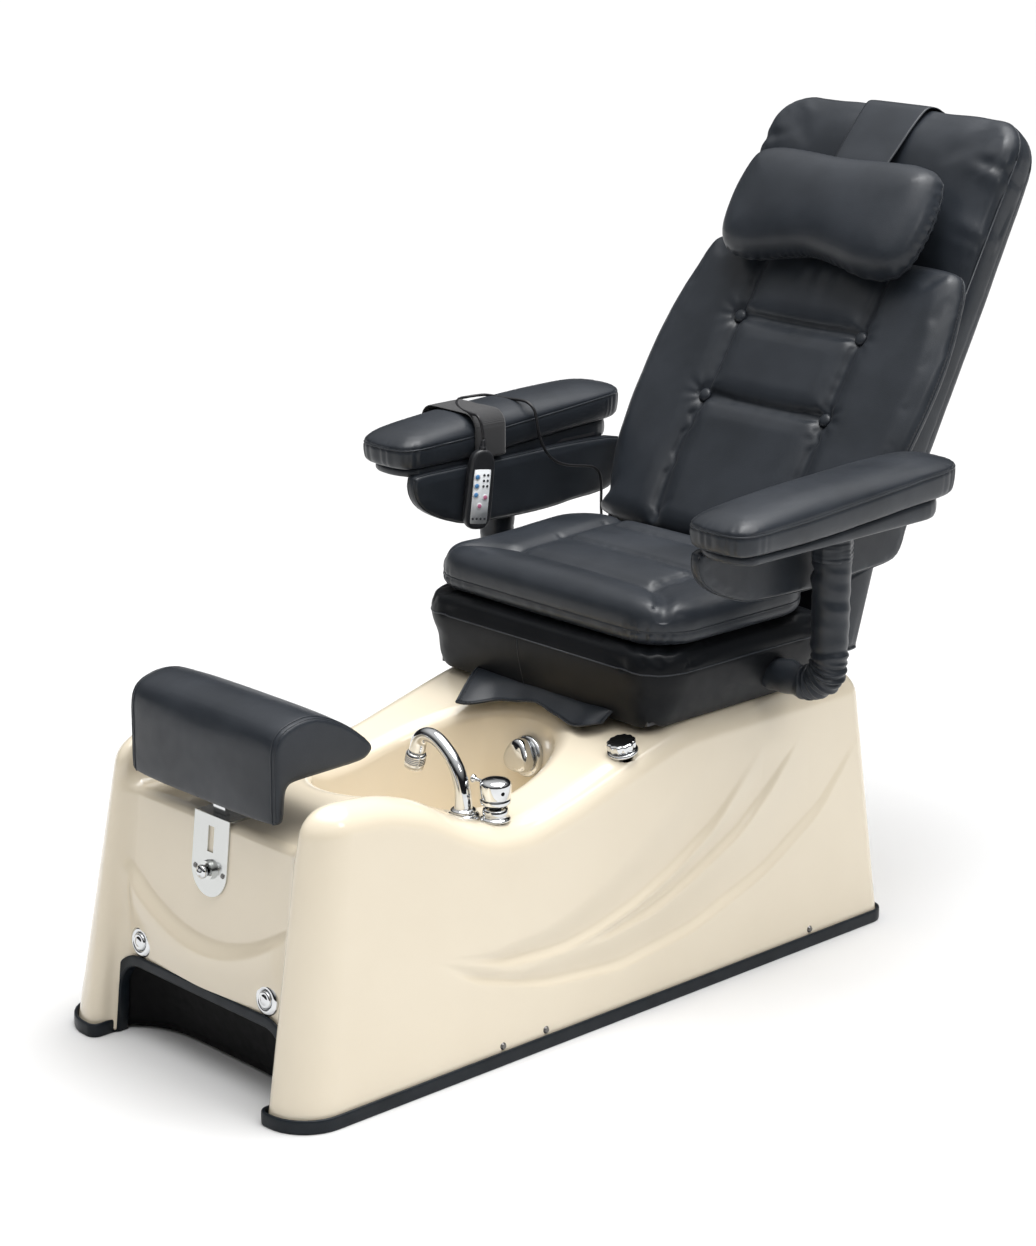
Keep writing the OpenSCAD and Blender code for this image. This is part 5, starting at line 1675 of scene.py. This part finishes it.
def key(y, z, r, lift=0.0010):
    return lathe("key", [(0.0002, 0), (r, 0), (r, lift * 0.6), (r * 0.82, lift), (0.0002, lift * 1.1)],
                 (0.0084, y, z), (1, 0, 0), 20)


def make_remote_band():
    """Woven band round the left arm's pad."""
    loop = []
    x0, x1, z0, z1 = -0.4515, -0.3155, 0.7555, 0.8315
    for cx, cz, r, a0 in ((x1 - 0.026, z1 - 0.026, 0.026, 0), (x0 + 0.026, z1 - 0.026, 0.026, 90),
                          (x0 + 0.004, z0 + 0.004, 0.004, 180), (x1 - 0.004, z0 + 0.004, 0.004, 270)):
        for a in np.radians(np.linspace(a0, a0 + 90, 10)):
            loop.append((cx + r * math.cos(a), 0.297, cz + r * math.sin(a)))
    loop = np.array(loop)
    heading = np.roll(loop, -1, 0) - np.roll(loop, 1, 0)
    heading /= np.linalg.norm(heading, axis=1, keepdims=True)
    out = np.column_stack([heading[:, 2], np.zeros(len(loop)), -heading[:, 0]])
    piece = band("remote_band", loop, (0, 1, 0), out, 0.070, 0.0018, closed=True)
    dress(piece, WEB, "arm_left")
    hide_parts("remote_strap")


# ---------- CAD nodes that stay in view ----------

def finish_cad_nodes():
    brass = steel("brass", (0.62, 0.45, 0.20), 0.30)
    rail = steel("rail_aluminium", (0.62, 0.63, 0.64), 0.28)
    screw = steel("screw_steel", (0.16, 0.155, 0.15), 0.30)
    pipe = plain("pipe_plastic", (0.78, 0.78, 0.75), 0.35)
    looks = {"gelcoat": GELCOAT, "trim_rubber": TRIM, "toe_plastic": DARK, "frame_steel": PAINT,
             "screw_steel": screw, "pipe_plastic": pipe, "chrome": CHROME, "bracket_chrome": PLATE,
             "brass": brass, "rail_aluminium": rail, "black_leather": LEATHER, "strap_web": WEB,
             "remote_plastic": CASE, "cord_rubber": CORD}
    for part in frame["record"]["subparts"]:
        node = frame["nodes"][part["node"]]
        node.data.materials.clear()
        node.data.materials.append(looks[part["material_slot"]])
        if node.hide_render:
            continue
        edge = node.modifiers.new("edge", "BEVEL")
        edge.width = 0.0006
        edge.segments = 2
        edge.limit_method = "ANGLE"
        edge.angle_limit = math.radians(50)
        edge.harden_normals = False


# ---------- stage ----------

def make_stage():
    floor = make("floor", [(-40, -40, 0), (40, -40, 0), (40, 40, 0), (-40, 40, 0)], [(0, 1, 2, 3)])
    s = Surface("floor_paper", (0.71, 0.71, 0.71), 0.9)
    s.bump(s.noise(180, 2), 0.02, 0.0005)
    floor.data.materials.append(s.material)


def area_light(name, place, aim, size, power):
    data = bpy.data.lights.new(name, "AREA")
    data.size = size
    data.energy = power
    light = link(bpy.data.objects.new(name, data))
    light.location = place
    light.rotation_euler = (Vector(aim) - Vector(place)).to_track_quat("-Z", "Y").to_euler()


def make_lights():
    world = bpy.data.worlds.new("studio")
    world.use_nodes = True
    scene.world = world
    nodes, links = world.node_tree.nodes, world.node_tree.links
    sky = nodes.new("ShaderNodeTexCoord")
    split = nodes.new("ShaderNodeSeparateXYZ")
    ramp = nodes.new("ShaderNodeValToRGB")
    stops = ramp.color_ramp.elements
    stops[0].position, stops[0].color = 0.65, (0.02, 0.02, 0.022, 1)
    stops[1].position, stops[1].color = 0.88, (1.0, 1.0, 1.0, 1)
    scale = nodes.new("ShaderNodeMapRange")
    scale.inputs["From Min"].default_value = -1
    links.new(sky.outputs["Generated"], split.inputs["Vector"])
    links.new(split.outputs["Z"], scale.inputs["Value"])
    links.new(scale.outputs["Result"], ramp.inputs["Fac"])
    links.new(ramp.outputs["Color"], nodes["Background"].inputs["Color"])
    nodes["Background"].inputs["Strength"].default_value = 0.80
    area_light("key", (3.2, 0.1, 2.8), (0.1, 0, 0.5), 0.8, 13)
    area_light("top", (0.2, 0.6, 3.6), (0, 0, 0.6), 1.0, 34)
    data = bpy.data.lights.new("sky", "SUN")
    data.energy = 3.0
    data.angle = math.radians(60)
    sun = link(bpy.data.objects.new("sky", data))
    sun.rotation_euler = (math.radians(-8), math.radians(8), 0)
    scene.view_settings.view_transform = "Standard"


make_camera()
make_cord()
make_shell()
make_edging()
make_toe_panel()
make_taps()
make_controls()
make_buttons()
make_lock()
make_footrest()
make_seat_base()
make_seat_cushion()
make_back_shell()
make_back_cushion()
make_pillow()
make_straps()
make_arms()
make_sleeves()
make_flap()
make_skirt()
make_remote()
make_remote_band()
finish_cad_nodes()
make_stage()
make_lights()
